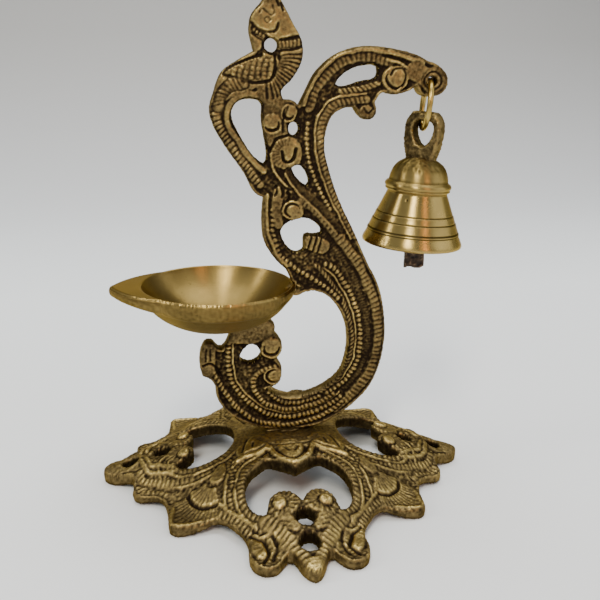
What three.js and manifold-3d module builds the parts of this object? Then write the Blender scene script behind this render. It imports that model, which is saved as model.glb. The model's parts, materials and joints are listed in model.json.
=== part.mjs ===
// Brass peacock oil-lamp stand with a hanging bell. Millimetres, +Z up.
// The origin is the middle of the base, on the surface that the lamp stands on.
// The stem is a flat casting that stands in the plane y = 0.
import * as THREE from "three";
import { mergeVertices } from "three/addons/utils/BufferGeometryUtils.js";
import Module from "manifold-3d";

const wasm = await Module();
wasm.setup();

// ---- driving dimensions ----
const CLEARANCE = 0.3; // air between neighbouring pieces
const STEM_THICKNESS = 7;
const STEM_FOOT_Z = 20.3; // lowest point of the stem

// Base: a shallow dome whose height falls with a distance between a circle's and a diamond's.
const BASE_TIP = 75;
const DOME_EDGE_Z = 5.4;
const DOME_RISE = 14.6;
const DOME_POWER = 1.78;
const PLAN_POWER = 1.4;
const SLOPE_EDGE_Z = 5.2;
const EDGE_SLOPE = 0.47;
const LOWEST_TOP_Z = 4.6;
const UNDERSIDE_SLOPE = 1.12;
const FOOT_DROP = 1.45;
const THINNEST = 3;

// Oil bowl: a turned basin in a teardrop rim with a wick spout.
const BOWL_X = -27.4;
const BOWL_RIM_Z = 82.9;
const BOWL_R = 30;
const BASIN_R = 29;
const BOWL_OVAL = 0.945; // its width over its length
const SPOUT_TIP_X = -66;
const SPOUT_TIP_R = 2.3;
const BAND = { height: 6.8, atSpout: 3.6, atNeck: 4.2, lean: 0.8 }; // the rim's cast wall

// Ring, bell and clapper.
const EYE = { x: 53.4, z: 159.3, r: 1.9 };
const RING = { r: 8.8, wire: 1.0, z: 150.75, turn: 9 };
const BELL = { x: 49.8, z: 97.4, tilt: 3.5 };
const CLAPPER_PIVOT_H = 24; // above the bell's rim, along its axis
const CLAPPER_LENGTH = 34;
const STAPLE = { r: 2.3, wire: 0.8, top: 31.4 };

const SCREW_X = 1.7;
const SCREW_R = 2;
const SCREW_TIP_Z = 28.4;
const SCREW_BORE_TOP_Z = SCREW_TIP_Z + 0.6;

const degrees = THREE.MathUtils.degToRad;

// ---- materials ----
const metal = (color, roughness, metalness = 1) =>
  new THREE.MeshStandardMaterial({ color, roughness, metalness });
const castBrass = metal(0x8f7340, 0.42);
const turnedBrass = metal(0xb79a5b, 0.3);
const ringBrass = metal(0xb9924a, 0.28);
const darkIron = metal(0x4a3a2c, 0.6);
const zincSteel = metal(0x9a9a98, 0.35);

// ---- outlines ----
// Points along stretches that meet at corners. Each stretch starts where the one before it ends, and one
// with a single point is straight.
function outline(stretches, step) {
  const points = [];
  stretches.forEach((stretch, index) => {
    const start = stretches.at(index - 1).at(-1);
    const knots = [start, ...stretch].map(([u, v]) => new THREE.Vector3(u, v, 0));
    const spline = new THREE.CatmullRomCurve3(knots, false, "centripetal");
    const count = stretch.length === 1 ? 1 : Math.max(2, Math.round(spline.getLength() / step));
    for (let k = 0; k < count; k++) {
      const point = spline.getPointAt(k / count);
      points.push(new THREE.Vector2(point.x, point.y));
    }
  });
  return points;
}

// Points along one closed smooth loop.
function loop(corners, step) {
  const knots = corners.map(([u, v]) => new THREE.Vector3(u, v, 0));
  const spline = new THREE.CatmullRomCurve3(knots, true, "centripetal");
  const count = Math.round(spline.getLength() / step);
  return Array.from({ length: count }, (_, k) => {
    const point = spline.getPointAt(k / count);
    return new THREE.Vector2(point.x, point.y);
  });
}

// Points along an ellipse.
function ellipse(u, v, ru, rv, count) {
  return Array.from({ length: count }, (_, k) => {
    const angle = (2 * Math.PI * k) / count;
    return new THREE.Vector2(u + ru * Math.cos(angle), v + rv * Math.sin(angle));
  });
}

// ---- solids ----
function extrude(points, depth, holes = []) {
  const anticlockwise = THREE.ShapeUtils.isClockWise(points) ? [...points].reverse() : points;
  const shape = new THREE.Shape(anticlockwise);
  shape.holes = holes.map((hole) => new THREE.Path(hole));
  return new THREE.ExtrudeGeometry(shape, { depth, bevelEnabled: false, steps: 1 });
}

function solid(geometry) {
  const bare = geometry.clone();
  bare.deleteAttribute("normal");
  bare.deleteAttribute("uv");
  const merged = mergeVertices(bare, 1e-4);
  const vertProperties = new Float32Array(merged.attributes.position.array);
  const triVerts = new Uint32Array(merged.index.array);
  return new wasm.Manifold(new wasm.Mesh({ numProp: 3, vertProperties, triVerts }));
}

function geometryOf(body) {
  const { vertProperties, triVerts } = body.getMesh();
  const geometry = new THREE.BufferGeometry();
  geometry.setAttribute("position", new THREE.BufferAttribute(new Float32Array(vertProperties), 3));
  geometry.setIndex(new THREE.BufferAttribute(new Uint32Array(triVerts), 1));
  geometry.computeVertexNormals();
  return geometry;
}

function lathe(profile, segments) {
  const points = profile.map(([radius, height]) => new THREE.Vector2(radius, height));
  return new THREE.LatheGeometry(points, segments).rotateX(Math.PI / 2);
}

function cylinder(radius, low, high, segments) {
  return new THREE.CylinderGeometry(radius, radius, high - low, segments)
    .rotateX(Math.PI / 2)
    .translate(0, 0, (low + high) / 2);
}

// Two rings of matching points, one above the other, closed by fans from a centre inside both.
function loft(upper, lower, centre) {
  const count = upper.length;
  const positions = [...upper, ...lower, centre(upper), centre(lower)].flat();
  const index = [];
  for (let k = 0; k < count; k++) {
    const next = (k + 1) % count;
    index.push(k, count + k, next, next, count + k, count + next);
    index.push(2 * count, k, next, 2 * count + 1, count + next, count + k);
  }
  const geometry = new THREE.BufferGeometry();
  geometry.setAttribute("position", new THREE.Float32BufferAttribute(positions, 3));
  geometry.setIndex(index);
  return geometry;
}

function named(name, geometry, material) {
  const mesh = new THREE.Mesh(geometry, material);
  mesh.name = name;
  return mesh;
}

// ---- base ----
// Top of the plate: a dome along the four arms that slopes down more steeply to the edges between them.
function plateTop(x, y) {
  const q = (Math.abs(x) ** PLAN_POWER + Math.abs(y) ** PLAN_POWER) ** (1 / PLAN_POWER);
  const arms = DOME_EDGE_Z + DOME_RISE * (1 - (q / BASE_TIP) ** DOME_POWER);
  const between = SLOPE_EDGE_Z + EDGE_SLOPE * (BASE_TIP - Math.abs(x) - Math.abs(y));
  return Math.max(LOWEST_TOP_Z, Math.min(arms, between));
}

function plateUnder(x, y) {
  const q = (Math.abs(x) ** PLAN_POWER + Math.abs(y) ** PLAN_POWER) ** (1 / PLAN_POWER);
  const rise = DOME_RISE * (1 - (q / BASE_TIP) ** DOME_POWER);
  return Math.max(0, Math.min(UNDERSIDE_SLOPE * rise - FOOT_DROP, plateTop(x, y) - THINNEST));
}

// The plate before its outline is cut, from rings of points on its top and its underside.
function domeSlab() {
  const sectors = 56;
  const rings = [8, 18, 28, 36, 43, 49, 54.5, 60, 65.5, 71.2, 75, 79, 92]; // the feet lie flat from 71.2
  const positions = [];
  for (const height of [plateTop, plateUnder]) {
    for (const q of rings) {
      for (let k = 0; k < sectors; k++) {
        const angle = (2 * Math.PI * k) / sectors;
        const [c, s] = [Math.cos(angle), Math.sin(angle)];
        const scale = q * (Math.abs(c) ** PLAN_POWER + Math.abs(s) ** PLAN_POWER) ** (-1 / PLAN_POWER);
        positions.push([scale * c, scale * s, height(scale * c, scale * s)]);
      }
    }
  }
  const half = rings.length * sectors;
  positions.push([0, 0, plateTop(0, 0)], [0, 0, plateUnder(0, 0)]);
  const index = [];
  for (let k = 0; k < sectors; k++) {
    const next = (k + 1) % sectors;
    index.push(2 * half, k, next, 2 * half + 1, half + next, half + k);
    for (let r = 0; r + 1 < rings.length; r++) {
      const [a, b] = [r * sectors + k, r * sectors + next];
      const [c, d] = [a + sectors, b + sectors];
      index.push(a, c, b, b, c, d, half + a, half + b, half + c, half + b, half + d, half + c);
    }
    const [a, b] = [(rings.length - 1) * sectors + k, (rings.length - 1) * sectors + next];
    index.push(a, half + a, b, b, half + a, half + b);
  }
  const geometry = new THREE.BufferGeometry();
  geometry.setAttribute("position", new THREE.Float32BufferAttribute(positions.flat(), 3));
  geometry.setIndex(index);
  return geometry;
}

// One quarter of the base's outline, from the side tip to the front tip, mirrored into all four quarters.
const BASE_QUARTER = [
  [BASE_TIP, 0], [74, 2.5], [71.4, 4.9], [66.4, 7.2], [63, 9.6], [62.2, 13], [62.4, 17.6], [60.6, 21],
  [55, 22.8], [50.8, 26], [49.2, 31], [48.6, 37], [48.2, 42], [46.2, 44.2], [42, 44.7], [36, 43.8],
  [32, 43], [28, 45.4], [24.8, 49.6], [22, 53.6], [20.8, 58], [21, 64.5], [19.3, 69.3], [15.5, 71.6],
  [11.7, 70.3], [9.2, 67.2], [7.4, 66], [5.9, 67.2], [4.3, 71], [2.3, 75], [0, 76.6],
];

function mirroredQuarters(quarter) {
  const inner = quarter.slice(1, -1);
  const [first, last] = [quarter[0], quarter.at(-1)];
  const flip = (points, sx, sy) => points.map(([x, y]) => [sx * x, sy * y]);
  return [
    first, ...inner, last, ...flip(inner, -1, 1).reverse(), [-first[0], 0],
    ...flip(inner, -1, -1), [0, -last[1]], ...flip(inner, 1, -1).reverse(),
  ];
}

// Half of each openwork window: from the tip of the lotus petal round to the meeting of the two volutes.
const FRONT_WINDOW = [
  [4.2, 25.4], [8.4, 22.6], [10.2, 21.6], [13, 23.3], [17, 26.5], [19.5, 31], [20.3, 36], [20, 41],
  [18.4, 45], [16, 47.8], [13.4, 49.3], [12.8, 46.5], [11.4, 43], [9, 41], [6.5, 40.5], [4, 41.2],
  [2, 43],
];
const SIDE_WINDOW = [
  [4, 21.8], [7, 22.6], [10.5, 24.4], [14, 28], [16.2, 32.5], [17, 37], [16.4, 41], [14.6, 44.2],
  [12, 45.6], [10.8, 43.6], [9, 40.4], [7, 38.8], [5, 38.6], [3, 39.5], [1.4, 41.2],
];
const BASE_WINDOWS = [
  { axis: "y", half: FRONT_WINDOW, start: 28.5, end: 46.5 },
  { axis: "x", half: SIDE_WINDOW, start: 21.6, end: 43.4 },
];
const WINDOW_STEP = 2.2;

// The window's full loop, with u across the axis and v along it.
function windowLoop(half, start, end) {
  const mirrored = half.map(([u, v]) => [-u, v]).reverse();
  return outline([[...half, [0, end]], [...mirrored, [0, start]]], WINDOW_STEP);
}

const BASE_HOLES = [
  { at: 53.3, r: 3.8, axis: "y" }, { at: 63.6, r: 3.7, axis: "y" },
  { at: 51, r: 3.7, axis: "x" }, { at: 64, r: 3.6, axis: "x" },
];

function basePlate() {
  const turns = { y: ([u, v]) => [u, v], x: ([u, v]) => [v, u] };
  const openings = [];
  for (const sign of [1, -1]) {
    for (const { axis, half, start, end } of BASE_WINDOWS) {
      const points = windowLoop(half, start, end).map(({ x, y }) => turns[axis]([x, sign * y]));
      openings.push(points.map(([x, y]) => new THREE.Vector2(x, y)));
    }
    for (const { at, r, axis } of BASE_HOLES) {
      const [x, y] = turns[axis]([0, sign * at]);
      openings.push(ellipse(x, y, r, r, 16));
    }
  }
  openings.push(ellipse(SCREW_X, 0, SCREW_R + 0.4, SCREW_R + 0.4, 16));
  const edge = loop(mirroredQuarters(BASE_QUARTER), 2.4);
  const cut = solid(extrude(edge, 40, openings).translate(0, 0, -5));
  return geometryOf(solid(domeSlab()).intersect(cut));
}

// ---- stem: outline in x and z ----
const STEM_EDGE = [
  // crest, back of the head and breast
  [[-3.6, 186.5], [1.1, 178.3], [4.2, 172.8], [4.3, 166.1], [0.8, 159.7], [-3.2, 155.4], [-2.2, 152.2]],
  [[1.1, 151.9], [3.6, 150.2]],
  // top of the arm that carries the bell
  [[6.1, 155], [10, 162.2], [17.2, 168.3], [26.1, 171.1], [36.7, 170.8], [47.8, 168.3], [51.6, 166.4]],
  // eye for the ring
  [[55, 165.3], [58.9, 161.7], [59.3, 158], [56.9, 154.8], [52.8, 154], [49.6, 154.5], [47.5, 157.8]],
  [[45, 156.1], [39.4, 154.6], [34.4, 155.2], [31.8, 151.8]],
  [[32.5, 148.2], [31.2, 145.9], [28.4, 145.6], [26.2, 147.1], [24.1, 150.1]],
  // inside of the arm, then the outside of the great curve down to the foot
  [[20.6, 149.7], [16.2, 147.2], [14.1, 142.9], [13.2, 135.3], [15.3, 126.5], [19.4, 115.3],
    [25.3, 103.5], [31.5, 90.3], [36.3, 81], [39, 70.3], [39.8, 59], [38.3, 47.7], [34.3, 37.7],
    [28.3, 30.7], [21.7, 25.7], [13.7, 21.6], [5.7, STEM_FOOT_Z]],
  [[-2.3, STEM_FOOT_Z]],
  [[-9, 21.1], [-18.3, 24.6], [-24.3, 29], [-28.3, 35.6], [-28.8, 40.3]],
  // flame leaf under the bowl
  [[-30.7, 43.7], [-34, 45.5]],
  [[-34.9, 49.7], [-34.3, 56], [-32.2, 59.2], [-29.6, 58.8], [-28.1, 56.8], [-26.6, 55.9], [-25, 57.6],
    [-22.2, 63.6], [-21, 67]],
  // inside the bowl's wall, where the bowl cuts the stem
  [[-18, 73], [-11, 72]],
  [[-9, 68.4]],
  // the two curls that close the great curve
  [[-6.2, 66.8], [-5, 64.8], [-5.3, 62.6], [-3.7, 60.4], [-2.4, 58], [-2.4, 55], [-4.7, 51.3]],
  [[-2.4, 47.6], [-3.2, 41.8], [-5.6, 39.8], [-8.4, 38.7]],
  // inside of the great curve
  [[-7, 37], [-3, 34.7], [3, 34], [10, 35.2], [17, 38.6], [22.3, 43.7], [24.6, 51], [25, 59],
    [23.7, 65.7], [19.7, 73.3], [14.5, 78.2], [10, 79.7]],
  // neck to the bowl
  [[5.6, 78.9], [3.3, 77.9]],
  [[1.4, 84.2]],
  // breast and tail
  [[-0.4, 88.2], [-4.3, 92], [-9, 99.7], [-9.9, 107.6], [-9.3, 116.8]],
  [[-12.4, 118.2], [-16.8, 126.2], [-22.4, 134.1], [-27.4, 142.6], [-29, 148.5], [-27.5, 154.4],
    [-24.4, 161.7], [-18.9, 165.6], [-12.8, 169]],
  [[-14.4, 176], [-13.6, 181.1], [-10, 185.6], [-6.8, 190.6]],
];
const STEM_STEP = 1.7;

const STEM_HOLES = [
  // between the curls under the bowl
  loop([[-19, 51.5], [-18, 55.3], [-14.2, 58.1], [-11.3, 55.8], [-10.5, 53], [-14.5, 49.6]], STEM_STEP),
  // between tail and body
  loop([[-21.4, 147], [-19.4, 151.4], [-14.7, 152.8], [-10.4, 151.4], [-10, 145], [-8.2, 132.4],
    [-9, 129], [-12.5, 131], [-17.5, 138]], STEM_STEP),
  // through the neck
  ellipse(-6.7, 171.2, 2.6, 2.6, 14),
  ellipse(1.7, 142, 2.1, 2.6, 14),
  loop([[1, 127.9], [3.6, 128.8], [6, 127.2], [8, 122], [7, 120.7], [3.4, 123.2]], STEM_STEP),
  loop([[-3, 103.5], [-1.2, 106.2], [4, 108.6], [9.5, 107.6], [13.4, 102.8], [10.5, 101.6],
    [6.9, 101.6], [5.8, 95.4], [2.4, 95], [-0.8, 97.6]], STEM_STEP),
  // slot under the arm's rim
  loop([[16.9, 158], [20.4, 162.2], [27, 164.9], [32.6, 164.6], [32.6, 160.7], [26, 158.8],
    [19.4, 157]], STEM_STEP),
  ellipse(EYE.x, EYE.z, EYE.r, EYE.r, 20),
];

function stem() {
  const profile = extrude(outline(STEM_EDGE, STEM_STEP), STEM_THICKNESS, STEM_HOLES);
  const plate = solid(profile.rotateX(Math.PI / 2).translate(0, STEM_THICKNESS / 2, 0));
  const bore = solid(cylinder(SCREW_R + CLEARANCE, 10, SCREW_BORE_TOP_Z, 16).translate(SCREW_X, 0, 0));
  return geometryOf(plate.subtract(bowlOuter(CLEARANCE)).subtract(bore));
}

// ---- oil bowl ----
// The teardrop rim: a circle, with tangents that run out to the rounded wick spout.
function teardrop(grow, count = 60) {
  const radius = BOWL_R + grow;
  const tip = SPOUT_TIP_R + grow;
  const reach = BOWL_X - SPOUT_TIP_X;
  const tangent = Math.acos((radius - tip) / reach);
  const points = [];
  for (let k = 0; k <= count; k++) {
    const angle = -Math.PI + tangent + (2 * (Math.PI - tangent) * k) / count;
    points.push([BOWL_X + radius * Math.cos(angle), radius * Math.sin(angle)]);
  }
  for (let k = 0; k <= 6; k++) {
    const angle = Math.PI - tangent + (2 * tangent * k) / 6;
    points.push([SPOUT_TIP_X + tip * Math.cos(angle), tip * Math.sin(angle)]);
  }
  return points;
}

function bowlOuter(grow) {
  const { smoothstep } = THREE.MathUtils;
  const bandHeight = (x) => {
    const atSpout = (BAND.height - BAND.atSpout) * (1 - smoothstep(x, SPOUT_TIP_X, BOWL_X - 8));
    const atNeck = (BAND.height - BAND.atNeck) * smoothstep(x, BOWL_X + 18, BOWL_X + BOWL_R);
    return BAND.height - atSpout - atNeck;
  };
  const upper = teardrop(grow).map(([x, y]) => [x, y, BOWL_RIM_Z + grow]);
  const lower = teardrop(grow - BAND.lean).map(([x, y]) => [x, y, BOWL_RIM_Z - bandHeight(x) - grow]);
  const centre = (ring) => [BOWL_X, 0, ring[0][2]];
  const under = [
    [0, 65.5], [8, 65.7], [15, 67], [21, 69.9], [25.2, 73.2], [27.6, 76], [27.6, 78], [0, 78],
  ].map(([radius, z], index, all) => {
    const last = index >= all.length - 2;
    return [radius + (radius > 0 ? grow : 0), last ? z : z - grow];
  });
  const dish = solid(lathe(under, 56).translate(BOWL_X, 0, 0));
  return solid(loft(upper, lower, centre)).add(dish).scale([1, BOWL_OVAL, 1]);
}

function oilBowl() {
  const basin = lathe([
    [0, 68], [8, 68.3], [14, 69.5], [19.5, 72], [24.4, 75.6], [27.6, 79.6], [BASIN_R, 82.6],
    [BASIN_R, 84], [0, 84],
  ], 56).translate(BOWL_X, 0, 0);
  return geometryOf(bowlOuter(0).subtract(solid(basin).scale([1, BOWL_OVAL, 1])));
}

// ---- screw and washer that hold the stem on the base ----
const WASHER = { r: 5, bore: 2.3, thickness: 1 };
const WASHER_TOP_Z = plateUnder(WASHER.r + 3, 0) - CLEARANCE;
const SCREW_HEAD = { r: 3.6, height: 2.6, bevel: 1.2, recess: 1.5, recessDepth: 1.4 };

function baseWasher() {
  const disc = solid(cylinder(WASHER.r, WASHER_TOP_Z - WASHER.thickness, WASHER_TOP_Z, 28));
  const hole = solid(cylinder(WASHER.bore, 0, 40, 20));
  return geometryOf(disc.subtract(hole));
}

function baseScrew() {
  const top = WASHER_TOP_Z - WASHER.thickness - CLEARANCE;
  const low = top - SCREW_HEAD.height;
  const { r, bevel } = SCREW_HEAD;
  const profile = [
    [0, low], [r - bevel, low], [r, low + bevel], [r, top],
    [SCREW_R, top], [SCREW_R, SCREW_TIP_Z - 0.8], [SCREW_R - 0.6, SCREW_TIP_Z], [0, SCREW_TIP_Z],
  ];
  const socket = cylinder(SCREW_HEAD.recess, low - 1, low + SCREW_HEAD.recessDepth, 6);
  return geometryOf(solid(lathe(profile, 24)).subtract(solid(socket)));
}

// ---- ring ----
function jumpRing() {
  return new THREE.TorusGeometry(RING.r, RING.wire, 10, 40).rotateY(Math.PI / 2);
}

// ---- bell, in its own frame: rim centre at the origin, axis along Z ----
const BELL_PROFILE = [
  // inside, from the crown down to the rim
  [0, 30.2], [4, 29.8], [7.4, 28], [9.1, 25.2], [9.8, 21.2], [11.9, 12.4], [14.7, 5], [17.4, 0.4],
  // rim and skirt with its turned steps
  [18.5, 0], [19.3, 0.5], [19.3, 1.6], [17.9, 4.4], [17.5, 5.4], [16.7, 7.6], [16.3, 8.5], [15.1, 11.7],
  [14.8, 12.7], [12.5, 19], [11.8, 20.7],
  // collar and crown
  [12.6, 21.3], [12.9, 22.8], [12.6, 24.3], [11.6, 24.9], [11.2, 26.1], [10.3, 28.9], [8.4, 31.2],
  [6.4, 32.7], [5, 33.6], [0, 33.6],
];
// The hanging loop: a plate turned about the bell's axis, with a hole set a little off the middle.
const LOOP = { holeShift: 0.6, thickness: 5.5, turn: -47 };
// Inner edge of the loop: broad at the top, where the ring bears, and pointed below.
const LOOP_HOLE = [
  [-2.6, 39.4], [-4.3, 42.6], [-4.2, 46.2], [-2.2, 47.7], [2.2, 47.7], [4.2, 46.2], [4.3, 42.6],
  [2.6, 39.4], [0, 37.8],
];
const LOOP_EDGE = [
  [-4.2, 30.5], [-5, 33.8], [-6.9, 38], [-7.4, 42], [-7.1, 46.6], [-4.8, 50.6], [4.8, 50.6],
  [7.1, 47.4], [7.4, 43.4], [6.9, 38], [5, 33.8], [4.2, 30.5],
];

function bell() {
  const edge = LOOP_EDGE.map(([x, z]) => new THREE.Vector2(x, z));
  const hole = loop(LOOP_HOLE.map(([x, z]) => [x + LOOP.holeShift, z]), 1.6);
  const plate = extrude(edge, LOOP.thickness, [hole]);
  plate.rotateX(Math.PI / 2).translate(0, LOOP.thickness / 2, 0).rotateZ(degrees(LOOP.turn));
  const hanger = solid(plate);
  const shankHole = solid(cylinder(STAPLE.wire + CLEARANCE, 27, STAPLE.top + 1, 12));
  return geometryOf(solid(lathe(BELL_PROFILE, 48)).add(hanger).subtract(shankHole));
}

// ---- staple inside the crown, and the strip clapper that hangs from it ----
const STRIP_THICKNESS = 2;

function clapperStaple() {
  const eye = new THREE.TorusGeometry(STAPLE.r, STAPLE.wire, 8, 24).rotateY(Math.PI / 2);
  const shankLow = CLAPPER_PIVOT_H + 2 * STAPLE.r;
  eye.translate(0, 0, CLAPPER_PIVOT_H + STAPLE.r);
  return geometryOf(solid(eye).add(solid(cylinder(STAPLE.wire, shankLow, STAPLE.top, 10))));
}

function clapperStrip() {
  const edge = outline([
    [[4, -CLAPPER_LENGTH + 0.6]],
    [[1.2, -CLAPPER_LENGTH - 0.4], [-1.4, -CLAPPER_LENGTH + 0.5], [-4, -CLAPPER_LENGTH]],
    [[-3.3, 0.2]],
    [[-2, 2], [0, 2.7], [2, 2], [3.3, 0.2]],
  ], 2);
  const hole = ellipse(0, -0.6, 1.9, 1.9, 14); // it bears on the staple's wire at its upper edge
  const strip = extrude(edge, STRIP_THICKNESS, [hole]);
  return strip.rotateX(Math.PI / 2).translate(0, STRIP_THICKNESS / 2, 0);
}

// ---- assembly ----
const lamp = new THREE.Group();
lamp.add(named("base_plate", basePlate(), castBrass));
lamp.add(named("stem", stem(), castBrass));
lamp.add(named("oil_bowl", oilBowl(), turnedBrass));

const fastening = new THREE.Group();
fastening.position.x = SCREW_X;
fastening.add(named("base_washer", baseWasher(), zincSteel));
fastening.add(named("base_screw", baseScrew(), zincSteel));
lamp.add(fastening);

const ring = named("jump_ring", jumpRing(), ringBrass);
ring.position.set(EYE.x, 0, RING.z);
ring.rotation.z = -degrees(RING.turn);
lamp.add(ring);

const bellGroup = new THREE.Group();
bellGroup.position.set(BELL.x, 0, BELL.z);
bellGroup.rotation.y = degrees(BELL.tilt);
bellGroup.add(named("bell", bell(), turnedBrass));
bellGroup.add(named("clapper_staple", clapperStaple(), darkIron));
const clapper = named("clapper", clapperStrip(), darkIron);
clapper.position.z = CLAPPER_PIVOT_H;
clapper.rotation.y = -degrees(BELL.tilt); // hangs plumb
bellGroup.add(clapper);
lamp.add(bellGroup);

export default lamp;
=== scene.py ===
import json
import math

import bpy
import numpy as np
from mathutils import Matrix, Vector


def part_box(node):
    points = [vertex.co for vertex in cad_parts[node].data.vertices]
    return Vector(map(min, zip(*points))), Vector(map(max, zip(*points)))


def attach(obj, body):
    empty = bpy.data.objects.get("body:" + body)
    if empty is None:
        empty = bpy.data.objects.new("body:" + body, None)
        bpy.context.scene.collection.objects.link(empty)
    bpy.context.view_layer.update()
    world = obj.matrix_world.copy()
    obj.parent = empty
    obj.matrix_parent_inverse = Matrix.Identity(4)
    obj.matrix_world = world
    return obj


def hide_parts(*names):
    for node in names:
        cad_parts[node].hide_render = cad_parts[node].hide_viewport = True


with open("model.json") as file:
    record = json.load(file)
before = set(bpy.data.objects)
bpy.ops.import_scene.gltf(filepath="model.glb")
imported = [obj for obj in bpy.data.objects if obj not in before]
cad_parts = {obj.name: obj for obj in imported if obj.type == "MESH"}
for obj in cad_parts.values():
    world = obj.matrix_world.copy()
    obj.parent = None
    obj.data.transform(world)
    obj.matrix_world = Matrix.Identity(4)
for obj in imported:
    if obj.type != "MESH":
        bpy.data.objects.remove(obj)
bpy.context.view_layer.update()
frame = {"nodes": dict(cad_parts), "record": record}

MM = 0.001
RIGHT, BACK, UP = np.eye(3)
rng = np.random.default_rng(11)


def box_mm(node):
    low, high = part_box(node)
    return np.array(low) / MM, np.array(high) / MM


def joint(name):
    return next(j for j in frame["record"]["behaviour"]["joints"] if j["name"] == name)


# ---------------------------------------------------------------- camera and stage
def camera():
    target = Vector((5.3, 0.0, 75.0))
    azimuth, elevation, roll, distance = (math.radians(-9.0), math.radians(17.3), math.radians(0.8), 306.0)
    outward = Vector((
        math.cos(elevation) * math.sin(azimuth),
        -math.cos(elevation) * math.cos(azimuth),
        math.sin(elevation),
    ))
    right = Vector((math.cos(azimuth), math.sin(azimuth), 0.0))
    up = outward.cross(right)
    rolled_right = right * math.cos(roll) + up * math.sin(roll)
    rolled_up = up * math.cos(roll) - right * math.sin(roll)
    data = bpy.data.cameras.new("camera")
    data.sensor_width = 36.0
    data.lens = 46.08
    data.clip_start = 0.01
    data.clip_end = 20.0
    shot = bpy.data.objects.new("camera", data)
    turn = Matrix((rolled_right, rolled_up, outward)).transposed().to_4x4()
    shot.matrix_world = Matrix.Translation((target + outward * distance) * MM) @ turn
    bpy.context.scene.collection.objects.link(shot)
    bpy.context.scene.camera = shot


def area_light(name, place, aim, size, power, color):
    data = bpy.data.lights.new(name, "AREA")
    data.shape = "RECTANGLE"
    data.size, data.size_y = size
    data.energy = power
    data.color = color
    lamp = bpy.data.objects.new(name, data)
    lamp.location = place
    lamp.rotation_euler = (Vector(aim) - Vector(place)).to_track_quat("-Z", "Y").to_euler()
    bpy.context.scene.collection.objects.link(lamp)


def stage():
    """A pale sweep: a floor that curves up into a backdrop behind the lamp."""
    floor_front, bend, radius, top = -1.6, 0.55, 0.9, 2.2
    profile = [(floor_front, 0.0), (bend, 0.0)]
    for k in range(1, 17):
        angle = math.pi / 2 * k / 16
        profile.append((bend + radius * math.sin(angle), radius * (1 - math.cos(angle))))
    profile.append((bend + radius, top))
    half = 2.4
    verts = [(x, y, z) for y, z in profile for x in (-half, half)]
    faces = [(2 * k, 2 * k + 1, 2 * k + 3, 2 * k + 2) for k in range(len(profile) - 1)]
    mesh = bpy.data.meshes.new("sweep")
    mesh.from_pydata(verts, [], faces)
    mesh.polygons.foreach_set("use_smooth", [True] * len(faces))
    sweep = bpy.data.objects.new("sweep", mesh)
    bpy.context.scene.collection.objects.link(sweep)
    mesh.materials.append(painted_light_paper())

    world = bpy.data.worlds.new("studio")
    world.use_nodes = True
    world.node_tree.nodes["Background"].inputs["Color"].default_value = (0.78, 0.82, 0.88, 1.0)
    world.node_tree.nodes["Background"].inputs["Strength"].default_value = 0.46
    bpy.context.scene.world = world
    area_light("key", (-0.27, -0.72, 0.92), (0, 0, 0.08), (0.2, 0.5), 9.0, (1.0, 0.95, 0.84))
    area_light("left", (-0.95, -0.12, 0.62), (0, 0, 0.08), (0.12, 0.5), 2.8, (1.0, 0.97, 0.9))
    area_light("top", (0.1, 0.3, 1.3), (0, 0, 0.05), (1.3, 1.0), 17.0, (0.96, 0.98, 1.0))
    area_light("right", (0.85, -0.3, 0.5), (0, 0, 0.08), (0.9, 0.7), 2.6, (0.95, 0.97, 1.0))
    area_light("copper", (0.3, -0.75, 0.42), (0, 0, 0.1), (0.1, 0.5), 1.15, (1.0, 0.47, 0.22))


def painted_light_paper():
    """Pale matt paper with painted light: a painted pool of light a hand's breadth behind the lamp, and
    painted shade that turns the backdrop greyer upwards.
    """
    n = Nodes("painted_light_paper")
    split = n.add("ShaderNodeSeparateXYZ")
    n.link(n.place(), split.inputs[0])
    nearest, farthest = -0.2, 1.4
    # Painted light along the sweep: the palest stop is a painted pool of light, and the greyer stops up the
    # backdrop are painted shade.
    stops = [(-0.1, (0.80, 0.82, 0.82)), (0.26, (0.90, 0.93, 0.93)), (0.47, (0.83, 0.85, 0.85)),
             (0.83, (0.67, 0.67, 0.66)), (1.13, (0.51, 0.50, 0.475)), (1.4, (0.44, 0.43, 0.41))]
    shares = [((y - nearest) / (farthest - nearest), tone) for y, tone in stops]
    n.link(n.ramp(n.spread(split.outputs[1], nearest, farthest), shares), n.shader.inputs["Base Color"])
    n.shader.inputs["Roughness"].default_value = 0.85
    return n.material


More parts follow.
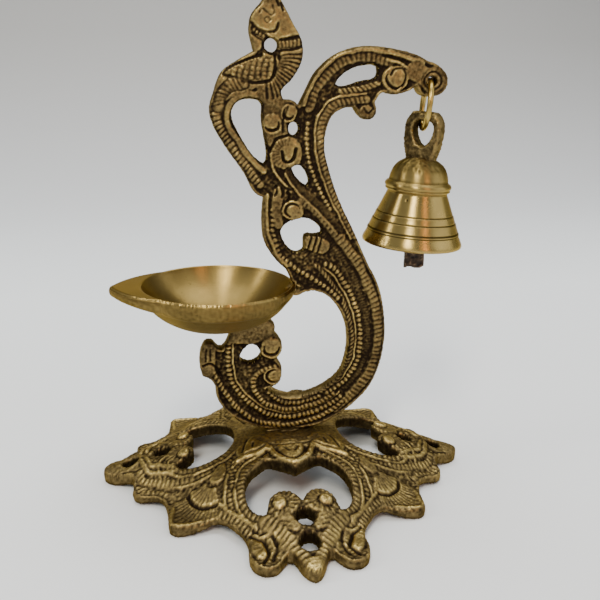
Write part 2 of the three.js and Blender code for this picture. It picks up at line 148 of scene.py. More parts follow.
# ---------------------------------------------------------------- materials
class Nodes:
    """A material's node tree, with short calls to add and link its nodes."""

    def __init__(self, name):
        self.material = bpy.data.materials.new(name)
        self.material.use_nodes = True
        self.tree = self.material.node_tree
        self.shader = self.tree.nodes["Principled BSDF"]

    def link(self, value, socket):
        if isinstance(value, bpy.types.NodeSocket):
            self.tree.links.new(value, socket)
        else:
            socket.default_value = value

    def add(self, kind, **settings):
        node = self.tree.nodes.new(kind)
        for key, value in settings.items():
            setattr(node, key, value)
        return node

    def place(self, scale=(1, 1, 1)):
        """Object coordinates, stretched by scale."""
        coordinates = self.add("ShaderNodeTexCoord")
        mapping = self.add("ShaderNodeMapping")
        mapping.inputs["Scale"].default_value = scale
        self.link(coordinates.outputs["Object"], mapping.inputs["Vector"])
        return mapping.outputs["Vector"]

    def noise(self, scale, detail=3.0, roughness=0.5, vector=None):
        node = self.add("ShaderNodeTexNoise")
        node.inputs["Scale"].default_value = scale
        node.inputs["Detail"].default_value = detail
        node.inputs["Roughness"].default_value = roughness
        self.link(vector or self.place(), node.inputs["Vector"])
        return node.outputs["Fac"]

    def attribute(self, name):
        return self.add("ShaderNodeAttribute", attribute_name=name).outputs["Fac"]

    def math(self, operation, a, b, clamp=False):
        node = self.add("ShaderNodeMath", operation=operation, use_clamp=clamp)
        self.link(a, node.inputs[0])
        self.link(b, node.inputs[1])
        return node.outputs[0]

    def spread(self, value, low, high, to_low=0.0, to_high=1.0):
        node = self.add("ShaderNodeMapRange")
        for socket, number in zip(("From Min", "From Max", "To Min", "To Max"), (low, high, to_low, to_high)):
            node.inputs[socket].default_value = number
        self.link(value, node.inputs["Value"])
        return node.outputs["Result"]

    def ramp(self, value, stops):
        node = self.add("ShaderNodeValToRGB")
        elements = node.color_ramp.elements
        while len(elements) < len(stops):
            elements.new(0.5)
        for element, (position, color) in zip(elements, stops):
            element.position = position
            element.color = (*color, 1.0)
        self.link(value, node.inputs["Fac"])
        return node.outputs["Color"]

    def mix(self, factor, a, b, blend="MIX"):
        node = self.add("ShaderNodeMix", data_type="RGBA", blend_type=blend)
        self.link(factor, node.inputs["Factor"])
        self.link(a, node.inputs[6])
        self.link(b, node.inputs[7])
        return node.outputs[2]

    def bump(self, height, strength, distance, normal=None):
        node = self.add("ShaderNodeBump")
        node.inputs["Strength"].default_value = strength
        node.inputs["Distance"].default_value = distance
        self.link(height, node.inputs["Height"])
        if normal:
            self.link(normal, node.inputs["Normal"])
        return node.outputs["Normal"]


BRASS_EDGE = (0.86, 0.70, 0.43, 1.0)  # what brass reflects at a grazing angle


def cast_brass():
    """Sand-cast brass: black-brown patina in the recesses, rubbed metal on whatever stands out."""
    n = Nodes("cast_brass")
    wear = n.attribute("wear")
    blotch = n.spread(n.noise(90, 4, 0.6), 0.3, 0.7, -0.14, 0.14)
    speck = n.spread(n.noise(900, 2, 0.6), 0.3, 0.7, -0.10, 0.10)
    rubbed = n.math("ADD", n.math("ADD", wear, blotch), speck, clamp=True)
    color = n.ramp(rubbed, [
        (0.08, (0.020, 0.013, 0.008)), (0.34, (0.070, 0.049, 0.020)), (0.56, (0.172, 0.123, 0.050)),
        (0.82, (0.330, 0.236, 0.076)), (1.0, (0.58, 0.43, 0.145)),
    ])
    n.shader.inputs["Specular Tint"].default_value = BRASS_EDGE
    n.link(color, n.shader.inputs["Base Color"])
    n.shader.inputs["Metallic"].default_value = 1.0
    n.link(n.spread(rubbed, 0.1, 0.9, 0.62, 0.36), n.shader.inputs["Roughness"])
    grain = n.bump(n.noise(1400, 3, 0.65), 0.35, 0.0003)
    n.link(n.bump(n.noise(420, 3, 0.6), 0.3, 0.0005, grain), n.shader.inputs["Normal"])
    return n.material


RADIAL, VERTICAL = "radial", "vertical"


def turned_brass(name, tone, roughness, centre, streaks):
    """Brass cut on a lathe: fine rings round the axis that stretch reflections across them."""
    n = Nodes(name)
    wear = n.attribute("wear")
    spots = n.spread(n.noise(520, 4, 0.65), 0.62, 0.85, 0.0, 0.3)
    cloud = n.spread(n.noise(60, 4, 0.6), 0.3, 0.7, -0.07, 0.07)
    rubbed = n.math("SUBTRACT", n.math("ADD", wear, cloud), spots, clamp=True)
    dark = tuple(0.10 * c for c in tone)
    middle = tuple(0.50 * c for c in tone)
    n.link(n.ramp(rubbed, [(0.08, dark), (0.45, middle), (0.9, tone)]), n.shader.inputs["Base Color"])
    n.shader.inputs["Metallic"].default_value = 1.0
    n.shader.inputs["Specular Tint"].default_value = BRASS_EDGE
    n.shader.inputs["Anisotropic"].default_value = 0.9
    n.link(n.spread(rubbed, 0.3, 0.75, roughness + 0.3, roughness), n.shader.inputs["Roughness"])
    outward, turning = about_axis(n, centre)
    direction = n.add("ShaderNodeCombineXYZ")
    direction.inputs[2].default_value = 1.0
    n.link(outward if streaks == RADIAL else direction.outputs[0], n.shader.inputs["Tangent"])
    n.link(n.bump(n.noise(2200, 3, 0.7, turning), 0.3, 0.0002), n.shader.inputs["Normal"])
    return n.material


def about_axis(n, centre):
    """The direction away from a vertical axis, and a coordinate of only the radius and the height."""
    shifted = n.add("ShaderNodeVectorMath", operation="SUBTRACT")
    n.link(n.add("ShaderNodeTexCoord").outputs["Object"], shifted.inputs[0])
    shifted.inputs[1].default_value = centre
    split = n.add("ShaderNodeSeparateXYZ")
    n.link(shifted.outputs[0], split.inputs[0])
    x, y, z = split.outputs
    outward = n.add("ShaderNodeCombineXYZ")
    n.link(x, outward.inputs[0])
    n.link(y, outward.inputs[1])
    radius = n.add("ShaderNodeVectorMath", operation="LENGTH")
    n.link(outward.outputs[0], radius.inputs[0])
    turning = n.add("ShaderNodeCombineXYZ")
    n.link(radius.outputs["Value"], turning.inputs[0])
    n.link(z, turning.inputs[1])
    return outward.outputs[0], turning.outputs[0]


def drawn_brass():
    """Bright wire."""
    n = Nodes("ring_brass")
    tone = n.spread(n.noise(220, 3), 0.3, 0.7)
    n.link(n.mix(tone, (0.36, 0.25, 0.065, 1), (0.50, 0.36, 0.11, 1)), n.shader.inputs["Base Color"])
    n.shader.inputs["Metallic"].default_value = 1.0
    n.shader.inputs["Specular Tint"].default_value = BRASS_EDGE
    n.shader.inputs["Roughness"].default_value = 0.3
    n.link(n.bump(n.noise(900, 2), 0.08, 0.0002), n.shader.inputs["Normal"])
    return n.material


def dark_iron():
    """Brown oxidised sheet iron."""
    n = Nodes("dark_iron")
    rust = n.spread(n.noise(500, 4, 0.7), 0.3, 0.7, -0.25, 0.25)
    tone = n.math("ADD", n.attribute("wear"), rust, clamp=True)
    browns = [(0.1, (0.012, 0.008, 0.006)), (0.5, (0.055, 0.034, 0.020)), (0.9, (0.18, 0.12, 0.07))]
    n.link(n.ramp(tone, browns), n.shader.inputs["Base Color"])
    n.shader.inputs["Metallic"].default_value = 0.7
    n.shader.inputs["Roughness"].default_value = 0.55
    n.link(n.bump(n.noise(900, 3, 0.7), 0.3, 0.0004), n.shader.inputs["Normal"])
    return n.material


def zinc_steel():
    """Dull zinc plating, a little mottled."""
    n = Nodes("zinc_steel")
    tone = n.spread(n.noise(700, 4, 0.6), 0.3, 0.7)
    n.link(n.mix(tone, (0.40, 0.40, 0.39, 1), (0.62, 0.62, 0.60, 1)), n.shader.inputs["Base Color"])
    n.shader.inputs["Metallic"].default_value = 1.0
    n.link(n.spread(tone, 0.0, 1.0, 0.45, 0.3), n.shader.inputs["Roughness"])
    n.link(n.bump(n.noise(2000, 2), 0.1, 0.0002), n.shader.inputs["Normal"])
    return n.material


# ---------------------------------------------------------------- outlines read from the CAD nodes
def merged_triangles(node):
    mesh = frame["nodes"][node].data
    mesh.calc_loop_triangles()
    points = np.array([v.co for v in mesh.vertices]) / MM
    triangles = np.array([t.vertices for t in mesh.loop_triangles])
    _, first, inverse = np.unique(np.round(points, 3), axis=0, return_index=True, return_inverse=True)
    return points[first], inverse.reshape(-1)[triangles]


def unit_normals(corners):
    normals = np.cross(corners[:, 1] - corners[:, 0], corners[:, 2] - corners[:, 0])
    return normals / np.maximum(np.linalg.norm(normals, axis=1, keepdims=True), 1e-9)


def rims(node, chosen, axes):
    """The closed edges of the chosen triangles of a CAD node, flattened on two directions, longest first."""
    points, triangles = merged_triangles(node)
    corners = points[triangles]
    edges = set()
    for a, b, c in triangles[chosen(corners, unit_normals(corners))]:
        edges.update(((a, b), (b, c), (c, a)))
    follow = {a: b for a, b in edges if (b, a) not in edges}
    loops = []
    while follow:
        start, at = follow.popitem()
        loop = [start]
        while at != start and at in follow:
            loop.append(at)
            at = follow.pop(at)
        if len(loop) > 5:
            loops.append(points[loop] @ np.array(axes, float).T)
    return sorted(loops, key=len, reverse=True)


def rounded(loop, times=2):
    """A closed loop with new points on a smooth curve between the old ones. Real corners stay sharp."""
    for _ in range(times):
        before, after = np.roll(loop, 1, axis=0), np.roll(loop, -1, axis=0)
        back, ahead = loop - before, after - loop
        cosine = (back * ahead).sum(1) / (np.linalg.norm(back, axis=1) * np.linalg.norm(ahead, axis=1) + 1e-9)
        bend = (2 * loop - before - after) * (cosine > 0.75)[:, None]
        middle = (loop + after) / 2 + (bend + np.roll(bend, -1, axis=0)) / 16
        loop = np.stack((loop, middle), axis=1).reshape(-1, 2)
    return loop


# ---------------------------------------------------------------- relief on a sheet
def near_span(axis, step, a, b, reach):
    """The slice of a grid axis that lies within reach of the stretch from a to b."""
    first, last = min(a, b) - reach - axis[0], max(a, b) + reach - axis[0]
    return slice(max(0, int(first / step)), int(last / step) + 2)


def edge_distance(loops, u, v, reach):
    """Distance to the nearest edge at every grid point, positive inside the outline, at most reach."""
    step = u[1] - u[0]
    square = np.full((len(v), len(u)), reach**2)
    crossings = np.zeros((len(v), len(u) + 1), int)
    for loop in loops:
        for (au, av), (bu, bv) in zip(loop, np.roll(loop, -1, axis=0)):
            i, j = near_span(u, step, au, bu, reach), near_span(v, step, av, bv, reach)
            du, dv = u[i] - au, (v[j] - av)[:, None]
            eu, ev = bu - au, bv - av
            t = np.clip((du * eu + dv * ev) / max(eu * eu + ev * ev, 1e-9), 0, 1)
            block = square[j, i]
            np.minimum(block, (du - t * eu) ** 2 + (dv - t * ev) ** 2, out=block)
            rows = np.nonzero((av > v) != (bv > v))[0]
            columns = np.searchsorted(u, au + (v[rows] - av) * eu / (ev if ev else 1.0))
            crossings[rows, columns] += 1
    inside = np.cumsum(crossings, axis=1)[:, :-1] % 2 == 1
    distance = np.sqrt(square)
    return np.where(inside, distance, -distance)


def curve_through(points, step=0.5):
    """Points along a smooth open curve through the given ones."""
    p = np.array(points, float)
    p = np.vstack((2 * p[0] - p[1], p, 2 * p[-1] - p[-2]))
    line = [p[1]]
    for a, b, c, d in zip(p, p[1:], p[2:], p[3:]):
        for k in range(1, max(2, int(np.linalg.norm(c - b) / step)) + 1):
            t = k / max(2, int(np.linalg.norm(c - b) / step))
            line.append(0.5 * (2 * b + (c - a) * t + (2 * a - 5 * b + 4 * c - d) * t**2
                               + (3 * b - a - 3 * c + d) * t**3))
    return np.array(line)


def blurred(field, sigma):
    """Gaussian blur, sigma in grid steps."""
    rows = np.fft.fftfreq(field.shape[0])[:, None]
    columns = np.fft.rfftfreq(field.shape[1])[None, :]
    weight = np.exp(-2 * (math.pi * sigma) ** 2 * (rows**2 + columns**2))
    return np.fft.irfft2(np.fft.rfft2(field) * weight, field.shape)


def fade(value, low, high):
    t = np.clip((value - low) / (high - low), 0, 1)
    return t * t * (3 - 2 * t)


class Sheet:
    """A flat outline with relief: a grid, each point's distance inside the edge, and the height cut there."""

    def __init__(self, loops, step, folded=False):
        self.loops = [rounded(loop) for loop in loops]
        self.step = step
        low = np.min([loop.min(0) for loop in self.loops], axis=0) - 3 * step
        high = np.max([loop.max(0) for loop in self.loops], axis=0) + 3 * step
        self.u = np.arange(low[0], high[0], step)
        self.v = np.arange(low[1], high[1], step)
        self.U, self.V = np.meshgrid(self.u, self.v)
        self.X, self.Y = (abs(self.U), abs(self.V)) if folded else (self.U, self.V)
        self.X = self.X + self.wobble()
        self.Y = self.Y + self.wobble()
        self.inside = edge_distance(self.loops, self.u, self.v, 7.0)
        self.height = np.zeros_like(self.U)
        self.grain = blurred(rng.normal(size=self.U.shape), 0.32 / step)
        self.grain /= self.grain.std()

    def wobble(self, size=1.4, amount=0.17):
        """The hand-cut unevenness of a pattern: a smooth random shift of each grid point."""
        field = blurred(rng.normal(size=self.U.shape), size / self.step)
        return amount * field / field.std()

    def from_edge(self, loops, low, high):
        """Zero at the chosen edges, one inside them."""
        return fade(edge_distance(loops, self.u, self.v, high + 1), low, high)

    def along(self, points, reach, line=None):
        """Grid points within reach of a curve, with their arc length and signed distance from it."""
        line = curve_through(points) if line is None else line
        low, high = line.min(0) - reach, line.max(0) + reach
        near = np.nonzero((self.X > low[0]) & (self.X < high[0]) & (self.Y > low[1]) & (self.Y < high[1])
                          & (self.inside > -1))
        x, y = self.X[near], self.Y[near]
        best = np.full(x.shape, reach**2)
        s, side = np.zeros_like(x), np.ones_like(x)
        run = 0.0
        for (ax, ay), (bx, by) in zip(line, line[1:]):
            ex, ey = bx - ax, by - ay
            length = math.hypot(ex, ey)
            if length < 1e-6:
                continue
            t = np.clip(((x - ax) * ex + (y - ay) * ey) / length**2, 0, 1)
            d = (x - ax - t * ex) ** 2 + (y - ay - t * ey) ** 2
            closer = d < best
            best[closer] = d[closer]
            s[closer] = run + t[closer] * length
            side[closer] = np.sign(ex * (y - ay) - ey * (x - ax))[closer]
            run += length
        hit = best < reach**2
        where = tuple(axis[hit] for axis in near)
        return where, s[hit], (np.sqrt(best) * side)[hit], run

    def lay(self, where, height, weight):
        self.height[where] = self.height[where] * (1 - weight) + height * weight

    def flat(self, points, width, level):
        where, _, d, _ = self.along(points, width / 2 + 0.4)
        self.lay(where, level, 1 - fade(abs(d), width / 2 - 0.3, width / 2 + 0.3))

    def ridge(self, points, width, level, crown=0.45):
        where, _, d, _ = self.along(points, width / 2 + 0.2)
        arch = np.sqrt(np.clip(1 - (2 * d / width) ** 2, 0, 1))
        self.lay(where, level + crown * arch, 1 - fade(abs(d), width / 2 - 0.2, width / 2 + 0.2))

    def groove(self, points, width, depth):
        where, _, d, _ = self.along(points, width / 2)
        self.height[where] -= depth * np.clip(1 - (2 * d / width) ** 2, 0, 1)

    def beads(self, points, width, pitch, level, depth=0.8, line=None):
        where, s, d, run = self.along(points, width / 2 + 0.2, line)
        count = max(1, round(run / pitch))
        cell = (s / run * count) % 1 - 0.5
        dome = np.sqrt(np.clip(1 - (2.1 * cell) ** 2 - (2 * d / width) ** 2, 0, 1))
        self.lay(where, level - depth + depth * dome, 1 - fade(abs(d), width / 2, width / 2 + 0.2))

    def rope(self, points, width, pitch, level, depth=0.7, slant=0.5, sharp=0.7, line=None):
        """Slanting strokes across a band."""
        where, s, d, _ = self.along(points, width / 2 + 0.2, line)
        wave = abs(np.cos(math.pi * (s + slant * d) / pitch)) ** sharp
        arch = np.clip(1 - (2 * d / width) ** 4, 0, 1)
        weight = 1 - fade(abs(d), width / 2 - 0.1, width / 2 + 0.2)
        self.lay(where, level - depth + depth * wave * arch, weight)

    def polar(self, centre, outer):
        dx, dy = self.X - centre[0], self.Y - centre[1]
        radius = np.hypot(dx, dy)
        where = np.nonzero((radius < outer) & (self.inside > -1))
        return where, radius[where], np.arctan2(dy, dx)[where]

    def comma(self, centre, radius, start, end, level, width=1.4, depth=1.0):
        """A smooth raised boss with a crescent groove between two angles, in degrees."""
        self.boss(centre, radius, level, 0.45)
        where, r, a = self.polar(centre, radius)
        share = ((np.degrees(a) - start) % 360) / ((end - start) % 360)
        swell = np.sin(math.pi * np.clip(share, 0, 1)) * width / 2 + 0.05
        cut = np.clip(1 - ((r - 0.66 * radius) / swell) ** 2, 0, 1) * (share < 1)
        self.height[where] -= depth * cut

    def boss(self, centre, radius, level, crown):
        where, r, _ = self.polar(centre, radius)
        arch = np.sqrt(np.clip(1 - (r / radius) ** 2, 0, 1))
        self.lay(where, level + crown * arch, 1 - fade(r, radius - 0.2, radius))

    def ring_groove(self, centre, radius, width, depth):
        where, r, _ = self.polar(centre, radius + width)
        self.height[where] -= depth * np.clip(1 - (2 * (r - radius) / width) ** 2, 0, 1)

    def fan(self, centre, inner, outer, start, end, count, level, depth=0.6):
        """Rays between two angles, in degrees, and two radii."""
        where, r, a = self.polar(centre, outer)
        a = np.degrees(a) % 360
        share = (a - start) / (end - start)
        wave = abs(np.cos(math.pi * share * count)) ** 0.6
        inside = fade(r, inner - 0.2, inner + 0.2) * fade(share, -0.02, 0.02) * (1 - fade(share, 0.98, 1.02))
        inside *= 1 - fade(r, outer - 0.4, outer)
        self.lay(where, level - depth + depth * wave, inside)

    def finish(self, edge_round, roughness, polish=0.47):
        """Round the edges, add the casting's skin, and work out where patina stays and where it is rubbed."""
        self.height = blurred(self.height, 0.5) + roughness * self.grain
        relief = self.height * (self.inside > 0)
        deep = relief - blurred(relief, 1.1 / self.step)
        fine = relief - blurred(relief, 0.45 / self.step)
        self.wear = np.clip(polish + 0.62 * deep + 0.7 * fine + 0.22 * np.clip(relief, -1.5, 0.6), 0, 1)
        corner = np.clip(edge_round - np.clip(self.inside, 0, None), 0, edge_round)
        self.height -= edge_round - np.sqrt(edge_round**2 - corner**2)


# ---------------------------------------------------------------- a sheet made into a closed mesh
def trimmed_grid(sheet):
    """Grid points and edge crossings inside the outline, the cells as polygons, and the edge as pairs."""
    step = sheet.step
    distance = sheet.inside.copy()
    slope_v, slope_u = np.gradient(distance, step)
    near = abs(distance) < 0.3 * step
    u = sheet.U - distance * slope_u * near
    v = sheet.V - distance * slope_v * near
    distance[near] = 0.0
    inside = distance >= 0
    index = np.full(inside.shape, -1)
    index[inside] = np.arange(inside.sum())
    points = [np.column_stack((u[inside], v[inside]))]
    rows, columns = np.nonzero(inside)
    source = [rows * inside.shape[1] + columns]
    extra, extra_source, crossing = [], [], {}
    total = int(inside.sum())

    def cross(a, b):
        nonlocal total
        if not inside[a]:
            a, b = b, a
        if distance[a] == 0:
            return int(index[a])
        if (a, b) not in crossing:
            t = distance[a] / (distance[a] - distance[b])
            extra.append((u[a] + t * (u[b] - u[a]), v[a] + t * (v[b] - v[a])))
            extra_source.append(a[0] * inside.shape[1] + a[1])
            crossing[(a, b)] = total
            total += 1
        return crossing[(a, b)]

    corners = inside[:-1, :-1].astype(int) + inside[:-1, 1:] + inside[1:, 1:] + inside[1:, :-1]
    full = corners == 4
    polygons, edge = [], []
    for j, i in zip(*np.nonzero((corners > 0) & (corners < 4))):
        around = [(j, i), (j, i + 1), (j + 1, i + 1), (j + 1, i)]
        polygon, leaving = [], []
        for k, a in enumerate(around):
            b = around[(k + 1) % 4]
            if inside[a]:
                polygon.append(int(index[a]))
            if inside[a] != inside[b]:
                polygon.append(cross(a, b))
                leaving.append((bool(inside[a]), polygon[-1]))
        if not leaving[0][0]:
            leaving = leaving[1:] + leaving[:1]
        for (_, a), (_, b) in zip(leaving[::2], leaving[1::2]):
            if a != b:
                edge.append((a, b))
        slim = [p for k, p in enumerate(polygon) if p != polygon[k - 1]]
        if len(set(slim)) > 2:
            polygons.append(slim)
    points.append(np.array(extra).reshape(-1, 2))
    source.append(np.array(extra_source, int))
    return np.vstack(points), np.concatenate(source), index, full, polygons, edge


def cell_polygons(index, full, block):
    """Whole cells as polygons, in joined blocks where no finer neighbour needs the points between."""
    polygons = []
    if block == 1:
        j, i = np.nonzero(full)
        quads = np.column_stack((index[j, i], index[j, i + 1], index[j + 1, i + 1], index[j + 1, i]))
        return quads.tolist()
    rows, columns = full.shape[0] // block, full.shape[1] // block
    tiles = full[:rows * block, :columns * block].reshape(rows, block, columns, block).all(axis=(1, 3))
    tiles = np.pad(tiles, 1)
    single = full.copy()
    for row, column in zip(*np.nonzero(tiles[1:-1, 1:-1])):
        j, i = row * block, column * block
        single[j:j + block, i:i + block] = False
        sides = [
            (tiles[row, column + 1], [(j, i + k) for k in range(block)]),
            (tiles[row + 1, column + 2], [(j + k, i + block) for k in range(block)]),
            (tiles[row + 2, column + 1], [(j + block, i + block - k) for k in range(block)]),
            (tiles[row + 1, column], [(j + block - k, i) for k in range(block)]),
        ]
        polygons.append([int(index[p]) for joined, side in sides for p in (side[:1] if joined else side)])
    return polygons + cell_polygons(index, single, 1)


EDGE_WEAR, HOLE_WEAR = 0.46, 0.24


def in_holes(sheet, points):
    """Which edge points belong to the holes rather than to the outer edge."""
    inner = sorted(sheet.loops, key=perimeter, reverse=True)[1:]
    found = np.zeros(len(points), bool)
    for loop in inner:
        low, high = loop.min(0) - sheet.step, loop.max(0) + sheet.step
        found |= ((points > low) & (points < high)).all(axis=1)
    return found


def sheet_mesh(name, sheet, across, along, origin, levels, rows, bulge, under_block=1):
    """A closed mesh from a sheet that lies on the directions across and along. levels gives the heights of
    the upper and lower skin over origin, from (u, v, relief height, distance inside the edge)."""
    flat, source, index, full, partial, edge = trimmed_grid(sheet)
    facing = np.cross(across, along)
    inside = np.clip(sheet.inside.ravel()[source], 0, None)
    wear = sheet.wear.ravel()[source]
    flat_place = origin + flat[:, :1] * across + flat[:, 1:] * along
    heights = levels(flat[:, 0], flat[:, 1], sheet.height.ravel()[source], inside)
    upper, lower = (flat_place + height[:, None] * facing for height in heights)
    verts = [upper, lower]
    wears = [wear, wear if under_block == 1 else np.full(len(flat), 0.32)]
    faces = cell_polygons(index, full, 1) + partial
    under = cell_polygons(index, full, under_block) + partial
    faces += [[len(flat) + p for p in reversed(polygon)] for polygon in under]

    slope_v, slope_u = np.gradient(blurred(sheet.inside, 1.5), sheet.step)
    outward = -(slope_u.ravel()[source][:, None] * across + slope_v.ravel()[source][:, None] * along)
    outward /= np.maximum(np.linalg.norm(outward, axis=1, keepdims=True), 1e-6)
    ring = sorted({p for pair in edge for p in pair})
    order = {p: k for k, p in enumerate(ring)}
    shares = np.repeat(np.arange(1, rows) / rows, len(ring))[:, None]
    wall = np.tile(upper[ring], (rows - 1, 1)) * (1 - shares) + np.tile(lower[ring], (rows - 1, 1)) * shares
    rough = lumpy(wall, 1.1)
    swell = bulge * np.sin(math.pi * shares) + 0.05 * rough[:, None]
    verts.append(wall + np.tile(outward[ring], (rows - 1, 1)) * swell)
    edge_wear = np.where(in_holes(sheet, flat[ring]), HOLE_WEAR, EDGE_WEAR)
    wears.append(np.tile(edge_wear, rows - 1) + 0.06 * rough)

    def wall_point(p, row):
        """Index of edge point p on a row of the wall, from the upper skin's edge to the lower skin's."""
        if row == 0:
            return p
        return len(flat) + p if row == rows else 2 * len(flat) + (row - 1) * len(ring) + order[p]

    for a, b in edge:
        for row in range(rows):
            below = row + 1
            faces.append([wall_point(b, row), wall_point(a, row), wall_point(a, below), wall_point(b, below)])
    return mesh_object(name, np.vstack(verts), faces, np.concatenate(wears))


def both_sides(half):
    """The skins of a flat plate of the given half thickness, with the same relief on both sides."""
    def skins(u, v, height, inside):
        return half + height, -half - height

    return skins


def mesh_object(name, verts, faces, wear):
    """A smooth object from points in millimetres and faces, without the points that no face uses."""
    used = np.zeros(len(verts), bool)
    used[np.concatenate([np.asarray(face) for face in faces])] = True
    renumber = np.cumsum(used) - 1
    mesh = bpy.data.meshes.new(name)
    mesh.from_pydata((verts[used] * MM).tolist(), [], [renumber[face].tolist() for face in faces])
    mesh.polygons.foreach_set("use_smooth", [True] * len(mesh.polygons))
    layer = mesh.attributes.new("wear", "FLOAT", "POINT")
    layer.data.foreach_set("value", np.asarray(wear, np.float32)[used])
    mesh.update()
    piece = bpy.data.objects.new(name, mesh)
    bpy.context.scene.collection.objects.link(piece)
    return piece


# ---------------------------------------------------------------- stem
STEM_STEP = 0.355


def stem_sheet():
    low, _ = box_mm("stem")
    front = rims("stem", lambda c, n: (n[:, 1] < -0.99) & (c[:, :, 1].max(1) < low[1] + 0.02), [RIGHT, UP])
    sheet = Sheet(front, STEM_STEP)
    sunk = sheet.from_edge(sheet.loops[:1], 0.5, 1.3)
    sheet.height = (-0.85 + 0.10 * sheet.grain) * sunk
    carve_great_curve(sheet)
    carve_under_bowl(sheet)
    carve_arm(sheet)
    carve_body(sheet)
    carve_tail(sheet)
    carve_head(sheet)
    sheet.finish(0.75, 0.05, 0.45)
    return sheet


def carve_great_curve(s):
    diagonal = [(4.7, 115.3), (11.8, 110.6), (17.6, 103.5), (25, 94.3), (30.3, 85), (34.7, 75), (37, 63.7),
                (36.8, 53), (33.7, 43), (27, 34.3), (20, 28.4)]
    s.rope(diagonal, 4.0, 1.9, 0.05, 0.5, 0.15)
    stipple = [(13.5, 102.5), (19, 96), (24.5, 87.5), (28.8, 78.5), (31.8, 69), (32.8, 59.7), (32.2, 51.2),
               (29.6, 44), (25.5, 38.2), (20.5, 33.8)]
    s.beads(stipple, 2.6, 1.2, -0.75, 0.25)
    outer = [(13.6, 90.6), (18.3, 88.3), (23.7, 80.3), (27.7, 71.7), (29.5, 62.3), (29.3, 52.3), (26.6, 44.4),
             (22.3, 39.2), (17, 36), (10, 33)]
    s.ridge(shifted(outer, -1.9), 0.8, -0.25)
    s.beads(outer, 2.5, 1.9, 0.1, 0.9)
    cable = [(11, 89.7), (15, 85.7), (19, 80.2), (22.4, 74.6), (24.8, 68), (26.2, 61), (26, 53), (23.6, 46),
             (19.4, 40.6), (14, 37), (7, 34.9)]
    s.rope(cable, 2.2, 1.7, -0.05, 0.75, 0.9)
    inner = [(-5.6, 112.9), (-6.2, 105), (-4.6, 97), (-1, 92), (5, 87.6), (11.7, 83.4), (17, 79.4),
             (21, 75.4)]
    s.beads(inner, 2.5, 2.0, 0.05, 0.9)
    bottom = [(-8, 38), (-3.7, 33.4), (2, 31.8), (8, 32.2), (14, 34.4)]
    s.beads(bottom, 2.3, 1.8, 0.0, 0.8)
    chain = [(-23, 59.7), (-23.8, 51.7), (-22.7, 43.7), (-19, 37), (-13, 30.6), (-5, 26.6), (2.5, 25.8),
             (10, 26.9), (17, 29.8), (23, 34)]
    s.beads(chain, 2.6, 1.9, 0.1, 0.9)
    s.ridge(shifted(chain, 1.9), 0.7, -0.3)
    ladder = [(-5, 48.2), (-9, 47.2), (-12.3, 45), (-13.7, 41.7), (-13.3, 38.3), (-11.2, 34.6), (-7.6, 31.4),
              (-2.4, 29.5), (3, 29), (9, 29.8), (14.5, 32), (19, 35)]
    s.rope(ladder, 2.5, 1.7, 0.1, 0.85, 0.2)
    rim = [(-29.4, 46.5), (-26, 39), (-21.7, 32.3), (-15.7, 26.3), (-9.6, 23.4), (-2.3, 22.2), (5, 22.4),
           (12.3, 24.2), (18, 27.2), (23, 31)]
    s.rope(rim, 2.3, 1.9, 0.1, 0.85, 0.45)
    leaf = [(6.4, 99.8), (9.8, 98.6), (13.4, 97.4)]
    s.flat(leaf, 6.2, -0.05)
    for x, z in ((7.4, 98.8), (9.4, 98.2), (11.4, 97.6)):
        s.groove([(x, z - 2.6), (x + 1.4, z + 3)], 0.9, 0.8)


def shifted(points, distance):
    """The same curve moved sideways, to the left of its direction when distance is positive."""
    line = curve_through(points, 2.0)
    ahead = np.gradient(line, axis=0)
    ahead /= np.linalg.norm(ahead, axis=1, keepdims=True)
    return line + distance * np.column_stack((-ahead[:, 1], ahead[:, 0]))


def carve_under_bowl(s):
    s.flat([(-21, 63.6), (-15, 63), (-8.5, 64.6)], 9.5, -0.1)
    s.comma((-6.6, 56.2), 4.6, 150, 20, 0.05, 1.5)
    s.comma((-5.6, 44.2), 4.0, 60, 300, 0.05, 1.4)
    s.flat([(-32, 47), (-31.4, 56)], 5.6, -0.05)
    for x in (-32.6, -30.9):
        s.groove([(x, 51.5), (x + 0.3, 56.8)], 0.8, 0.5)
    s.groove([(-33.6, 49.8), (-31, 50.2), (-28.6, 48.6), (-26.8, 45.6)], 1.1, 0.8)


